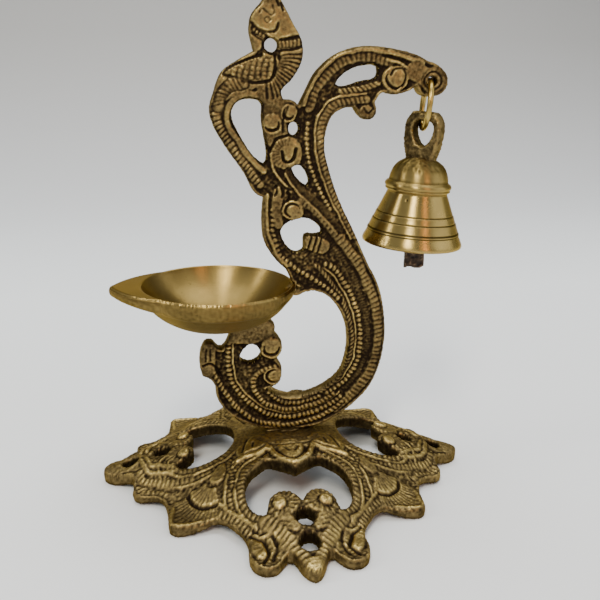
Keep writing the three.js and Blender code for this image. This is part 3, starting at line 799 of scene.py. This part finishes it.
def carve_arm(s):
    crest = [(5.2, 150.8), (7.1, 155.8), (11, 162.2), (16, 167), (23.5, 169.6), (31, 169.9), (40, 168.7),
             (49.5, 165.8)]
    s.ridge(crest, 1.9, -0.1, 0.45)
    hatched = [(7.3, 149.4), (9, 154.7), (12.6, 160), (17.3, 164.6), (23.5, 167.2), (30.6, 167.3),
               (37, 165.9)]
    s.rope(hatched, 3.4, 1.8, 0.0, 0.5, 0.1)
    s.ridge([(36, 167), (41, 165.6), (44, 162.4), (43.4, 158.8)], 1.2, -0.2, 0.45)
    s.comma((39.1, 160.1), 4.9, 140, 330, 0.05, 1.2)
    s.groove([(37.4, 161.6), (38.8, 163.8), (41.6, 163.6), (43, 160.8), (41.8, 157.4)], 1.0, 0.7)
    s.rope([(18.6, 155.4), (23.5, 156.1), (28.8, 157), (33, 158.4)], 2.4, 1.8, 0.05, 0.8, 0.7)
    s.flat([(46.6, 163), (51.6, 160.6)], 7.4, 0.0)
    s.boss((54.2, 159.7), 5.1, -0.35, 0.25)
    s.ring_groove((53.8, 159.5), 3.3, 0.9, 0.6)
    inner = [(28.6, 152.6), (22.5, 152.2), (17.2, 151), (13.6, 147.6), (12, 143), (11.7, 137.5),
             (12.5, 131.4), (14.5, 125.2), (17.9, 117.2), (21.8, 109.6), (26.3, 101.2)]
    s.rope(inner, 3.2, 1.7, 0.05, 0.5, 0.3)
    s.ridge(shifted(inner, -2.2), 0.9, -0.3, 0.4)
    chain = [(6.8, 144.7), (6.5, 138), (7.6, 130), (9.9, 123.4), (13, 116.8), (16.6, 111.4)]
    s.beads(chain, 2.1, 1.8, 0.0, 0.8)
    s.flat([(28.6, 148.4), (30.2, 147.2)], 4.6, -0.1)
    s.groove([(27.6, 149.6), (29.6, 147.8), (31, 149.6)], 0.8, 0.6)


def carve_body(s):
    s.flat([(-5.6, 150.6), (-5.4, 144), (-4.6, 139)], 9.0, -0.15)
    s.ridge([(-7.6, 117.4), (-8.3, 108), (-7.4, 100.8), (-4, 94.2), (-0.4, 89.9)], 1.6, -0.1, 0.35)
    s.comma((-6.4, 144), 3.9, 190, 20, 0.05, 1.5)
    s.comma((-0.2, 147.8), 3.3, 120, 330, 0.05, 1.3)
    s.groove([(-2.2, 141), (-2.4, 144.6), (-0.8, 150)], 1.0, 0.6)
    s.boss((-1.2, 133), 6.2, -0.15, 0.3)
    s.fan((-0.8, 133), 2.8, 6.2, 70, 255, 12, 0.05, 0.4)
    s.flat([(1.6, 136), (1.4, 133), (-0.4, 131.4)], 2.6, 0.2)
    s.groove([(-2.6, 133.6), (-2.2, 131), (-0.2, 129.9), (1.6, 131.4), (2.4, 134.6)], 1.4, 1.1)
    s.groove([(-7.2, 131), (-7, 135), (-4.4, 138.6), (-0.6, 139.4)], 1.2, 0.9)
    s.comma((1.6, 111.6), 4.2, 20, 260, 0.05, 1.3)
    s.flat([(-3.6, 119), (-4.4, 112), (-3.8, 106)], 3.4, -0.1)
    for x, z in ((-4.8, 119.6), (-2.6, 119), (-0.6, 117)):
        s.groove([(x, z + 1.2), (x + 0.6, z - 0.6), (x, z - 2.2)], 1.1, 0.8)
    trough = [(0.2, 126.2), (4.7, 119.6), (10, 114.8), (15, 110), (20, 103.6)]
    s.flat(trough, 3.2, -0.55)
    s.ridge(shifted(trough, -1.9), 0.9, -0.25, 0.4)
    s.ridge([(-6.9, 133), (-6, 127.6), (-3.4, 123.4), (-0.6, 120.8)], 1.0, -0.25, 0.4)


def carve_tail(s):
    band = [(-11.2, 121.5), (-16, 128.6), (-20.9, 135.4), (-25.2, 141.8), (-26.8, 146.6), (-26.4, 150.8),
            (-23.8, 154.6), (-19.6, 156.6), (-14.5, 157.2)]
    s.rope(band, 3.5, 1.6, 0.1, 0.75, 0.15)
    lip = [(-9.4, 126.6), (-12.4, 129.2), (-16, 133.9), (-19.8, 139.2), (-22.4, 143.5), (-22.8, 147.4),
           (-20.4, 152), (-16.4, 154.2), (-11.4, 154)]
    s.ridge(lip, 2.4, -0.15, 0.3)


def carve_head(s):
    s.flat([(-9.4, 188), (-8.2, 181), (-3.6, 178), (-0.4, 174)], 11.5, 0.3)
    s.flat([(-12.2, 172), (-10.6, 178)], 5.4, 0.0)
    s.flat([(1.6, 170), (0.6, 164.4), (-3, 158.4), (-7.6, 155.6)], 9.6, -0.05)
    s.flat([(-26, 156.6), (-18, 160.6), (-9, 163)], 11.0, 0.0)
    s.boss((-9, 180), 5.4, 0.25, 0.5)
    s.ring_groove((-8.4, 179.6), 1.0, 0.6, 0.5)
    s.groove([(-10.9, 182), (-9.8, 183.2), (-8.4, 182.2), (-6.8, 181), (-6, 182.6), (-6.6, 184.4)], 0.7, 0.45)
    s.groove([(-13.9, 178.4), (-12, 176.4), (-8.6, 175.4), (-5.6, 176.2), (-4.4, 178.6)], 1.2, 0.8)
    s.beads([(-13.4, 176.6), (-11.4, 175), (-8.8, 173.8)], 1.6, 1.4, -0.1, 0.7)
    s.groove([(-13.6, 175.2), (-11.6, 173.4), (-9.8, 172.6), (-9.8, 170.6)], 0.9, 0.7)
    for x, z in ((-5.2, 186.6), (-3.6, 185.2)):
        s.groove([(x, z), (x + 1.0, z - 2.2)], 1.1, 0.7)
    s.rope([(-3.4, 171.4), (1.0, 172), (5, 172.8)], 2.8, 1.3, 0.05, 0.7, 0.0)
    for lift in (-1.9, 1.9):
        s.groove([(-3.8, 171.2 + lift), (1.0, 171.9 + lift), (5, 172.9 + lift)], 1.1, 0.8)
    breast = (-9.6, 166.5)
    for k in range(13):
        angle = math.radians(8 - 7.6 * k)
        along = np.array((math.cos(angle), math.sin(angle)))
        start, middle, end = (np.array(breast) + along * reach for reach in (5.6, 9.2, 13.6))
        s.groove([start, middle + (0.0, 0.4), end], 1.0, 0.55)
    wing = [(-10.4, 168), (-16.4, 166), (-21.8, 163), (-24, 160.8), (-18, 159.2), (-12, 158.2), (-8, 159.2),
            (-5.7, 162.4), (-5.4, 167.6)]
    s.flat([(-20.6, 161.8), (-14, 162.6), (-9, 163.4)], 7.0, -0.35)
    for k in range(7):
        x = -20.4 + 2.15 * k
        low, high = 159.9 + 0.2 * abs(k - 5), 164.4 + 0.55 * min(k, 4)
        s.rope([(x, low), (x + 1.2, high)], 1.8, 1.5, 0.05, 0.5, 0.1, 0.5)
    s.beads([(-22.6, 162.2), (-17, 165.2), (-11, 167.4)], 1.4, 1.3, 0.05, 0.5)
    s.groove(wing, 1.2, 0.9)
    s.rope([(-26, 149.5), (-25, 153.6), (-22, 157), (-17, 157.9)], 4.4, 1.5, 0.0, 0.55, 0.35)


def stem():
    half = box_mm("stem")[1][1]
    piece = sheet_mesh("stem_relief", stem_sheet(), RIGHT, UP, np.zeros(3), both_sides(half), 3, 0.25)
    dress(piece, "cast_brass", "root", "stem")


# ---------------------------------------------------------------- base
BASE_STEP = 0.42


def skin_triangles(node, upward):
    """The triangles of a CAD node's top, with upward 1, or of its underside, with upward -1."""
    points, triangles = merged_triangles(node)
    corners = points[triangles]
    return corners[(unit_normals(corners)[:, 2] * upward) > 0.3]


def plate_height(corners, u, v):
    """Height of a triangulated surface over a grid, drawn one triangle at a time."""
    field = np.full((len(v), len(u)), np.nan)
    step = u[1] - u[0]
    for a, b, c in corners:
        low, high = np.min((a, b, c), axis=0), np.max((a, b, c), axis=0)
        i, j = near_span(u, step, low[0], high[0], 0), near_span(v, step, low[1], high[1], 0)
        x, y = np.meshgrid(u[i], v[j])
        area = (b[0] - a[0]) * (c[1] - a[1]) - (b[1] - a[1]) * (c[0] - a[0])
        if abs(area) < 1e-6:
            continue
        wb = ((x - a[0]) * (c[1] - a[1]) - (y - a[1]) * (c[0] - a[0])) / area
        wc = ((b[0] - a[0]) * (y - a[1]) - (b[1] - a[1]) * (x - a[0])) / area
        hit = (wb > -0.02) & (wc > -0.02) & (wb + wc < 1.02)
        block = field[j, i]
        block[hit] = (a[2] + wb * (b[2] - a[2]) + wc * (c[2] - a[2]))[hit]
    known = ~np.isnan(field)
    spread = np.where(known, field, 0.0)
    weight = known.astype(float)
    smooth, share = blurred(spread, 1.6 / step), blurred(weight, 1.6 / step)
    return np.where(share > 0.02, smooth / np.maximum(share, 0.02), 5.0)


def base_sheet():
    loops = rims("base_plate", lambda c, n: n[:, 2] > 0.3, [RIGHT, BACK])
    sheet = Sheet(loops, BASE_STEP, folded=True)
    sunk = sheet.from_edge([loop for loop in sheet.loops if perimeter(loop) > 60], 0.2, 1.0)
    sheet.height = (-0.42 + 0.09 * sheet.grain) * sunk
    windows = [loop for loop in sheet.loops if 60 < perimeter(loop) < 250]
    front = max(windows, key=lambda loop: -loop[:, 1].mean())
    side = max(windows, key=lambda loop: loop[:, 0].mean())
    carve_window_bands(sheet, front * (1, -1), 1, 8.8)
    carve_window_bands(sheet, side, 0, 7.5)
    carve_base_edges(sheet)
    carve_fans(sheet)
    carve_pad(sheet)
    sheet.finish(0.8, 0.055, 0.60)
    return sheet


def perimeter(loop):
    return np.linalg.norm(loop - np.roll(loop, -1, axis=0), axis=1).sum()


def carve_window_bands(s, loop, axis, begin):
    """Bead and rope bands round the outer half of a window, each at its own distance from the edge. The
    window lies on the given axis, and its bands begin at the given distance from that axis."""
    loop = loop[loop[:, 1 - axis] > -0.5]
    start = int(np.argmax(np.linalg.norm(loop - np.roll(loop, 1, axis=0), axis=1)))
    line = np.roll(loop, -start, axis=0)
    if line[0, axis] > line[-1, axis]:
        line = line[::-1]
    sweep = line[line[:, 1 - axis] > begin]
    out = 1 if axis == 1 else -1
    s.rope(None, 2.8, 2.1, 0.1, 0.55, 0.3, line=offset_line(sweep, 1.7 * out))
    s.ridge(offset_line(sweep, 3.9 * out), 1.1, -0.1, 0.35)
    s.beads(None, 2.1, 1.9, -0.05, 0.6, line=offset_line(sweep, 5.7 * out))
    s.ridge(offset_line(sweep, 7.6 * out), 1.2, -0.2, 0.35)


def offset_line(line, distance):
    ahead = np.gradient(line, axis=0)
    for _ in range(3):
        ahead[1:-1] = (ahead[:-2] + ahead[1:-1] * 2 + ahead[2:]) / 4
    ahead /= np.maximum(np.linalg.norm(ahead, axis=1, keepdims=True), 1e-6)
    return line - distance * np.column_stack((-ahead[:, 1], ahead[:, 0]))


def carve_base_edges(s):
    s.rope([(60.4, 9.4), (58.4, 14), (53, 17.4), (46.5, 20.6), (40, 22.4)], 3.0, 2.0, 0.1, 0.55, 0.2)
    s.rope([(60.6, 16), (58.8, 19.2), (53, 21.4), (49, 25)], 2.4, 2.0, 0.0, 0.5, 0.1)
    for offset in (0, 2.4):
        lip = [(60.4 - offset, 2.4), (58.4 - offset, 8), (54.4 - offset, 12.4 - offset), (47, 15.6 - offset)]
        s.ridge(lip, 1.7, -0.05, 0.35)
    s.rope([(33.4, 39.6), (28.4, 42.8), (24.2, 47.4), (21.4, 52.4), (19.4, 57)], 3.2, 2.0, 0.1, 0.6, 0.3)
    s.ridge([(30, 37.4), (25.6, 43.2), (21, 48.8), (17.4, 53.2)], 1.3, -0.1, 0.4)
    s.rope([(14.4, 51.6), (10.8, 56.4), (7.6, 61.4), (5, 66.6), (2.2, 72)], 5.0, 2.1, 0.25, 0.55, 0.1)
    s.ridge([(19.2, 56.8), (18.2, 60.6), (16.9, 64.2)], 4.6, -0.05, 0.5)
    s.groove([(20.4, 55), (15.6, 59), (14.6, 64), (16.6, 68.2)], 1.3, 0.9)
    s.groove([(12.6, 58), (11.6, 62.6), (13.4, 67.6)], 1.2, 0.8)
    s.flat([(4.4, 57), (8, 52.6)], 4.6, 0.05)
    for x, y in ((4.6, 59.6), (5.6, 57.4), (6.8, 55.2)):
        s.groove([(x, y), (x + 2.6, y - 1.4)], 0.8, 0.4)
    s.flat([(66, 0), (74, 0)], 12.0, 0.0)
    s.groove([(60.8, 8), (64.6, 6.6), (69.4, 5.8)], 0.9, 0.4)
    s.boss((0, 73.6), 3.4, 0.1, 0.5)
    volute(s, (6.7, 46.2), 6.2, (8.7, 46.6))
    volute(s, (44, 5.6), 5.6, (42.6, 7.2))


def volute(s, centre, radius, knob):
    """A round scroll: a flat ribbed band that winds round a smooth raised knob near its edge."""
    s.fan(centre, 0.5, radius, 0, 360, 15, 0.15, 0.45)
    s.ring_groove(knob, 2.8, 0.8, 0.3)
    s.boss(knob, 2.5, 1.0, 0.25)


def carve_fans(s):
    x, y = centre = (31, 27)
    s.fan(centre, 11.0, 23.4, 10, 90, 13, 0.1, 0.45)
    s.fan(centre, 3.4, 9.8, 6, 94, 8, 0.25, 0.45)
    turns = np.radians(np.arange(10, 91, 10))
    s.groove(np.column_stack((x + 10.5 * np.cos(turns), y + 10.5 * np.sin(turns))), 1.4, 0.7)
    s.flat([(27.6, 22.6), (30.6, 26.6)], 4.6, 0.1)
    s.ridge([(46.8, 33), (46.6, 42.6), (37, 42.4)], 1.8, 0.15, 0.3)
    s.beads([(23.8, 17.6), (25.4, 22.4), (24.4, 27.4), (25, 33)], 2.2, 1.8, 0.0, 0.6)


def carve_pad(s):
    """The smooth saddle under the stem and the lotus petals round it."""
    s.flat([(0, 0), (12, 6), (20, 2)], 22.0, 0.0)
    s.flat([(12.6, 10.4), (17, 15)], 9.5, 0.35)
    s.flat([(0, 15.6), (0, 20.4)], 10.0, 0.25)
    s.flat([(-1, 12.6), (6, 12), (12, 8)], 1.6, 0.1)
    s.ridge([(0, 26.6), (3.6, 24.4), (6.8, 20.6), (8.9, 15.2)], 2.4, 0.5, 0.5)
    s.groove([(1.0, 23.6), (3.6, 20.8), (5.8, 17)], 1.3, 1.0)
    s.ridge([(9.2, 14.6), (12.4, 17), (16.6, 18.4), (21.4, 20)], 2.0, 0.5, 0.4)
    s.groove([(10.4, 13.6), (13.4, 15.2), (18.4, 16.8)], 1.3, 0.9)
    s.groove([(8.6, 20.4), (9.4, 17.6), (12.6, 20)], 1.4, 1.1)
    veins = [[(19.6, 15.6), (18.2, 10.6), (16.8, 7)], [(15.4, 13.2), (14.6, 9.6)], [(1.0, 18.6), (2.6, 15.8)]]
    for vein in veins:
        s.groove(vein, 1.0, 0.8)
    s.groove([(-1, 13.8), (6.4, 13.2), (13, 8.8)], 0.8, 0.5)


def base():
    sheet = base_sheet()
    top_field = plate_height(skin_triangles("base_plate", 1), sheet.u, sheet.v)
    under_field = plate_height(skin_triangles("base_plate", -1), sheet.u, sheet.v)
    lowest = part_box("base_plate")[0].z / MM

    def over(field, u, v):
        i = np.clip((u - sheet.u[0]) / sheet.step, 0, len(sheet.u) - 1.001)
        j = np.clip((v - sheet.v[0]) / sheet.step, 0, len(sheet.v) - 1.001)
        i0, j0 = i.astype(int), j.astype(int)
        fi, fj = i - i0, j - j0
        return ((field[j0, i0] * (1 - fi) + field[j0, i0 + 1] * fi) * (1 - fj)
                + (field[j0 + 1, i0] * (1 - fi) + field[j0 + 1, i0 + 1] * fi) * fj)

    def skins(u, v, height, inside):
        round_edge = 0.5 - np.sqrt(0.25 - np.clip(0.5 - inside, 0, 0.5) ** 2)
        return over(top_field, u, v) + height, np.maximum(over(under_field, u, v), lowest) + round_edge

    piece = sheet_mesh("base_relief", sheet, RIGHT, BACK, np.zeros(3), skins, 4, 0.2, under_block=4)
    dress(piece, "cast_brass", "root", "base_plate")


# ---------------------------------------------------------------- oil bowl
BOWL_TURNS = 480
CURVE_SIZE = 30  # the basin's radius, which puts a share of it and a depth on one scale
BAND_HEIGHT, BAND_AT_SPOUT, BAND_AT_NECK = 3.9, 6.9, 1.3
UNDERSIDE_SPREAD = 1.03  # the underside's width against the basin's
BASIN = [(0, -14.8), (0.28, -14.5), (0.48, -13.3), (0.67, -10.8), (0.84, -7.1), (0.95, -3.1), (1, -0.5)]
DISH = [(0.92, -6.8), (0.84, -9.7), (0.7, -13), (0.5, -15.9), (0.27, -17.2), (0, -17.4)]


def round_the(loop, centre, turns):
    """Distance of a closed outline from a centre, in evenly spaced directions."""
    angle = np.arctan2(loop[:, 1], loop[:, 0] - centre)
    order = np.argsort(angle)
    radius = np.hypot(loop[:, 0] - centre, loop[:, 1])[order]
    return np.interp(turns, angle[order], radius, period=2 * math.pi)


def bowl_lip():
    """The outer and inner edge of the flat lip, and the X of the round basin's axis."""
    rim = box_mm("oil_bowl")[1][2]
    lip = rims("oil_bowl", lambda c, n: (n[:, 2] > 0.95) & (c[:, :, 2].min(1) > rim - 0.4), [RIGHT, BACK])
    outer, inner = sorted(lip, key=perimeter, reverse=True)[:2]
    return outer, inner, (inner[:, 0].min() + inner[:, 0].max()) / 2


def bowl():
    """The turned basin, its flat teardrop lip, the cast band round it and the rounded underside."""
    low, high = box_mm("oil_bowl")
    rim = high[2]
    outer, inner, centre = bowl_lip()
    turns = np.linspace(-math.pi, math.pi, BOWL_TURNS, endpoint=False)
    outer, inner = (round_the(loop, centre, turns) for loop in (outer, inner))
    rim_line = np.column_stack((outer * np.cos(turns), outer * np.sin(turns), 0 * turns))
    chips = 0.14 * np.clip(lumpy(rim_line, 0.5), 0, 1.8) * fade(-np.sin(turns), 0.1, 0.6)
    x = centre + outer * np.cos(turns)
    band = (BAND_HEIGHT + (BAND_AT_SPOUT - BAND_HEIGHT) * fade(x, low[0], centre - 8)
            + (BAND_AT_NECK - BAND_HEIGHT) * fade(x, centre + 18, centre + 30))
    one = np.ones(BOWL_TURNS)
    rows = []
    for share, depth in curve_through(np.array(BASIN) * (CURVE_SIZE, 1), 1.2) / (CURVE_SIZE, 1):
        rows.append((share * inner, (rim + depth) * one, 0.6 * one))
    rows.append((inner + 0.1, (rim - 0.12) * one, 0.75 * one))
    rows.append((inner + 0.4, rim * one, 0.85 * one))
    # The flat lip: rubbed metal, with its wear set higher still as painted light that makes up for the dark
    # upper backdrop this flat top reflects.
    for share in (0.1, 0.35, 0.65, 0.9):
        rows.append((inner + 0.5 + (outer - inner - 1.0) * share, rim * one, 0.88 * one))
    rows.append((outer - 0.45, rim - 0.5 * chips, 0.6 + chips))
    rows.append((outer - 0.15 - chips, rim - 0.25 - chips, 0.64 + chips))
    rows.append((outer - chips, rim - 0.7, 0.62 + chips))
    smooth_rows = len(rows)
    for share in np.linspace(0.16, 1, 12):
        swell = 0.3 * math.sin(math.pi * share) - 0.7 * share**6
        rows.append((outer + swell, rim - band * share, 0.42 * one))
    cast_rows = len(rows) - smooth_rows
    under = inner * UNDERSIDE_SPREAD
    span = DISH[0][0] * under
    for share in (0.3, 0.75):
        z = rim - band + (band + DISH[0][1]) * share**2
        rows.append(((outer - 1.0) * (1 - share) + span * share, z, 0.12 * one))
    for share, depth in curve_through(np.array(DISH) * (CURVE_SIZE, 1), 1.4) / (CURVE_SIZE, 1):
        rows.append((share * under, (rim + depth) * one, 0.38 * one))
    share = np.zeros(len(rows))
    share[smooth_rows:smooth_rows + cast_rows] = 1.0
    piece = turned("bowl_body", rows, turns, np.array((centre, 0, 0)), np.eye(3), (0.025, 0.8, share))
    dress(piece, "bowl_brass", "root", "oil_bowl")


def lumpy(points, size):
    """Smooth noise at points in space, with unit spread and lumps of about the given size."""
    total = np.zeros(len(points))
    for _ in range(28):
        direction = rng.normal(size=3)
        direction *= rng.uniform(0.6, 1.5) * math.pi / size / np.linalg.norm(direction)
        total += np.sin(points @ direction + rng.uniform(0, 2 * math.pi))
    return total / math.sqrt(14)


def turned(name, rows, turns, origin, axes, skin=None):
    """A closed mesh from rows of (radius, height, wear) round an axis. The first and last rows are points.
    skin gives the roughness, its lump size and its share of each row."""
    across, back, up = axes
    verts, wears, faces = [], [], []
    count = len(turns)
    spin = np.cos(turns)[:, None] * across + np.sin(turns)[:, None] * back
    for radius, height, wear in rows:
        one = np.ones(count)
        verts.append(origin + (radius * one)[:, None] * spin + (height * one)[:, None] * up)
        wears.append(wear * one)
    verts, wears = np.vstack(verts), np.concatenate(wears)
    if skin:
        depth, size, share = skin
        rough = lumpy(verts, size) * np.repeat(share, count)
        outward = np.tile(spin, (len(rows), 1))
        verts += depth * rough[:, None] * outward
        wears += min(0.1, 1.4 * depth) * rough
    ahead = np.roll(np.arange(count), -1)
    for row in range(1, len(rows) - 2):
        a, b = row * count, (row + 1) * count
        faces += np.column_stack((a + ahead, a + np.arange(count), b + np.arange(count), b + ahead)).tolist()
    first, last = count, (len(rows) - 2) * count
    faces += [[0, first + k, first + int(ahead[k])] for k in range(count)]
    end = (len(rows) - 1) * count
    faces += [[end, last + int(ahead[k]), last + k] for k in range(count)]
    return mesh_object(name, verts, faces, wears)


# ---------------------------------------------------------------- bell, ring and clapper
BELL_TILT = math.radians(3.5)
BELL_PIVOT_HEIGHT = 24.0
LOOP_TURN = math.radians(-47)
BELL_SKIRT = [(17.2, 0.5), (17.8, 0.0), (18.9, 0.0), (19.55, 0.35), (19.7, 1.0), (19.4, 2.0), (18.5, 3.8),
              (18.05, 4.7)]
WALL_HEIGHTS, WALL_RADII = (4.9, 12.7, 20.6), (18.0, 15.0, 11.75)
GROOVES = [4.9, 6.0, 9.6, 12.4]
GROOVE_DEPTH, GROOVE_REACH, STEP_PER_GROOVE = 0.3, 0.25, 0.16
BURR_HEIGHT, BURR_FROM_GROOVE, BURR_REACH = 0.06, 0.55, 0.3  # metal pushed up beside a groove
BELL_COLLAR = [(11.75, 20.6), (11.9, 21.0), (12.5, 21.3), (12.65, 21.6), (12.4, 22.0), (12.75, 22.4),
               (12.95, 23.0), (12.85, 23.6), (12.4, 24.2), (11.7, 24.6), (11.5, 25.0), (11.4, 26.0)]
COLLAR_CREASES = (20.6, 22.0, 25.0)
BELL_CROWN = [(11.1, 27.2), (10.5, 28.8), (9.6, 30.3), (8.4, 31.5), (7.0, 32.4), (5.6, 33.1), (3.0, 33.6),
              (0, 33.7)]
BELL_INSIDE = [(0, 30.2), (4, 29.8), (7.4, 28), (9.1, 25.2), (9.8, 21.2), (11.9, 12.4), (14.7, 5),
               (17.0, 0.8)]
CASTING_PITS = [((-141.5, 2.6), 0.7, 0.2), ((-123.7, 18.4), 0.4, 0.25)]  # (angle, height), size, depth


def bell_frame():
    """The bell's axes and the middle of its rim, from the clapper's hinge."""
    up = np.array((math.sin(BELL_TILT), 0, math.cos(BELL_TILT)))
    across = np.array((math.cos(BELL_TILT), 0, -math.sin(BELL_TILT)))
    hinge = np.array(joint("clapper_swing")["pos_m"]) / MM
    return hinge - BELL_PIVOT_HEIGHT * up, np.array((across, BACK, up))


def bell():
    origin, axes = bell_frame()
    turns = np.linspace(-math.pi, math.pi, 300, endpoint=False)
    rows = [(r, z, 0.3) for r, z in BELL_INSIDE]
    rows += [(r - pressed(turns, z), z, 0.72) for r, z in BELL_SKIRT]
    for h in np.arange(WALL_HEIGHTS[0], 20.5, 0.22):
        r = np.interp(h, WALL_HEIGHTS, WALL_RADII)
        near = min(abs(h - groove) for groove in GROOVES)
        step = STEP_PER_GROOVE * sum(h < groove for groove in GROOVES)
        burr = BURR_HEIGHT * max(0, 1 - abs(near - BURR_FROM_GROOVE) / BURR_REACH)
        cut = GROOVE_DEPTH * max(0, 1 - near / GROOVE_REACH) - burr
        dent = pressed(turns, h)
        wear = 0.15 if cut > 0.02 else 0.66
        rows.append((r + step - 0.2 - cut - dent, h, wear - 5 * dent))
    rows += [(r, z, 0.3 if z in COLLAR_CREASES else 0.6) for r, z in BELL_COLLAR]
    share = [0.0] * len(rows)
    for r, z in curve_through(BELL_CROWN, 0.6):
        cast = float(fade(z, 27.6, 30.0))
        rows.append((r, z, 0.54 - 0.2 * cast))
        share.append(cast * min(1.0, r / 3))
    piece = turned("bell_body", rows, turns, origin, axes, (0.05, 0.8, np.array(share)))
    dress(piece, "bell_brass", "bell", "bell")


def pressed(turns, height):
    """How deep the casting pits go into the bell's turned wall, all round it at one height."""
    wall_radius = 14
    total = np.zeros(len(turns))
    for (angle, middle), size, depth in CASTING_PITS:
        aside = wall_radius * (turns - math.radians(angle))
        total += depth * np.exp(-(aside**2 + (height - middle) ** 2) / size**2)
    return total


def bell_loop():
    """The cast hanging loop on the crown: a thick plate with worn edges round the hole for the ring."""
    origin, (side, back, up) = bell_frame()
    across = math.cos(LOOP_TURN) * side + math.sin(LOOP_TURN) * back
    facing = np.cross(across, up)
    crown_top, sunk_into_crown, clear_of_crown = 34.4, 2.4, 36
    points, _ = merged_triangles("bell")
    level = (points[points[:, 2] > origin[2] + clear_of_crown] @ facing).max()

    def on_front(corners, normals):
        return (normals @ facing > 0.99) & ((corners @ facing).min(1) > level - 0.05)

    front = rims("bell", on_front, [across, up])
    base_height = origin @ up
    for edge in front:
        edge[edge[:, 1] < base_height + crown_top, 1] -= sunk_into_crown
    sheet = Sheet(front[:2], 0.3)
    sheet.height = 0.08 * sheet.grain
    sheet.finish(0.8, 0.04)
    sheet.wear = np.clip(0.38 + 0.05 * sheet.grain + 0.2 * fade(-sheet.inside, -1.2, -0.2), 0, 1)
    middle = origin @ facing
    piece = sheet_mesh("bell_loop", sheet, across, up, facing * middle, both_sides(level - middle), 6, 0.4)
    dress(piece, "cast_brass", "bell", "bell")


def ring():
    """The jump ring: drawn wire, hanging with a slight lean in the eye."""
    axis = joint("bell_swing")["axis"]
    centre, eye = (np.array(joint(name)["pos_m"]) / MM for name in ("bell_swing", "ring_swing"))
    low, high = box_mm("jump_ring")
    cad_wire, wire = 1.0, 1.08
    radius = (high[2] - low[2]) / 2 - cad_wire
    lean = math.radians(5.5)
    side = np.array((-axis[1], axis[0], 0))
    around, across = 160, 20
    verts, faces = [], []
    for a in np.arange(around) * 2 * math.pi / around:
        out = math.cos(a) * side + math.sin(a) * UP
        for b in np.arange(across) * 2 * math.pi / across:
            thick = wire * (1 + 0.02 * math.sin(5 * a + 1) + 0.015 * math.sin(11 * a))
            verts.append(centre + out * (radius + thick * math.cos(b)) + np.array(axis) * thick * math.sin(b))
    verts = np.array(verts) - eye
    turn = np.array(((math.cos(lean), 0, math.sin(lean)), (0, 1, 0), (-math.sin(lean), 0, math.cos(lean))))
    verts = verts @ turn.T + eye
    for i in range(around):
        for j in range(across):
            a, b = i * across, (i + 1) % around * across
            k = (j + 1) % across
            faces.append([a + j, b + j, b + k, a + k])
    piece = mesh_object("ring_wire", verts, faces, np.full(len(verts), 0.8))
    dress(piece, "ring_brass", "ring", "jump_ring")


def clapper():
    """A strip cut from dark sheet iron, ragged at its end."""
    half = box_mm("clapper")[1][1]
    sheet = Sheet(rims("clapper", lambda c, n: n[:, 1] < -0.99, [RIGHT, UP]), 0.3)
    sheet.height = 0.07 * sheet.grain
    sheet.finish(0.35, 0.04)
    sheet.wear = np.clip(0.4 + 0.15 * sheet.grain + 0.3 * fade(-sheet.inside, -0.8, 0.0), 0, 1)
    piece = sheet_mesh("clapper_strip", sheet, RIGHT, UP, np.zeros(3), both_sides(half), 4, 0.05)
    dress(piece, "dark_iron", "clapper", "clapper")


# ---------------------------------------------------------------- brazed seams
def braze(name, centre, radii, wear, lumps=0.14):
    """A lump of braze: an uneven ellipsoid that fills the seam between two castings."""
    turns = np.linspace(-math.pi, math.pi, 96, endpoint=False)
    rows = []
    for angle in np.linspace(math.pi / 2, -math.pi / 2, 40):
        rows.append((math.cos(angle), math.sin(angle), wear))
    share = np.cos(np.linspace(math.pi / 2, -math.pi / 2, 40))
    piece = turned(name, rows, turns, np.array(centre), np.diag(radii), (lumps, 2.2, share))
    dress(piece, "cast_brass", "root")


def seams():
    bowl_low, bowl_high = box_mm("oil_bowl")
    foot = box_mm("stem")[0][2]
    braze("braze_neck", (bowl_high[0] + 0.6, 0, bowl_high[2] - 2.6), (3.0, 4.0, 3.0), 0.62)
    braze("braze_under", (-15.4, 0, bowl_low[2] + 1.6), (6.4, 4.2, 1.5), 0.5)
    braze("braze_foot", (1.7, 0, foot - 0.2), (9.5, 4.4, 1.1), 0.25)


def fittings():
    """The washer, the screw and the staple keep their CAD shapes and get their metals."""
    metals = {"base_washer": "zinc_steel", "base_screw": "zinc_steel", "clapper_staple": "dark_iron"}
    for node, material in metals.items():
        for slot in frame["nodes"][node].material_slots:
            slot.material = MATERIALS[material]


def dress(piece, material, body, replaced=None):
    """Give a piece its material and body, and hide the CAD node that it stands for."""
    piece.data.materials.append(MATERIALS[material])
    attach(piece, body)
    if replaced:
        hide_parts(replaced)


# ---------------------------------------------------------------- making
camera()
stage()
bowl_axis = (bowl_lip()[2] * MM, 0, 0)
bell_axis = (joint("clapper_swing")["pos_m"][0], 0, 0)
MATERIALS = {
    "cast_brass": cast_brass(),
    "bowl_brass": turned_brass("bowl_brass", (0.41, 0.284, 0.088), 0.28, bowl_axis, RADIAL),
    "bell_brass": turned_brass("bell_brass", (0.47, 0.335, 0.106), 0.24, bell_axis, VERTICAL),
    "ring_brass": drawn_brass(),
    "dark_iron": dark_iron(),
    "zinc_steel": zinc_steel(),
}
stem()
base()
bowl()
bell()
bell_loop()
ring()
clapper()
seams()
fittings()
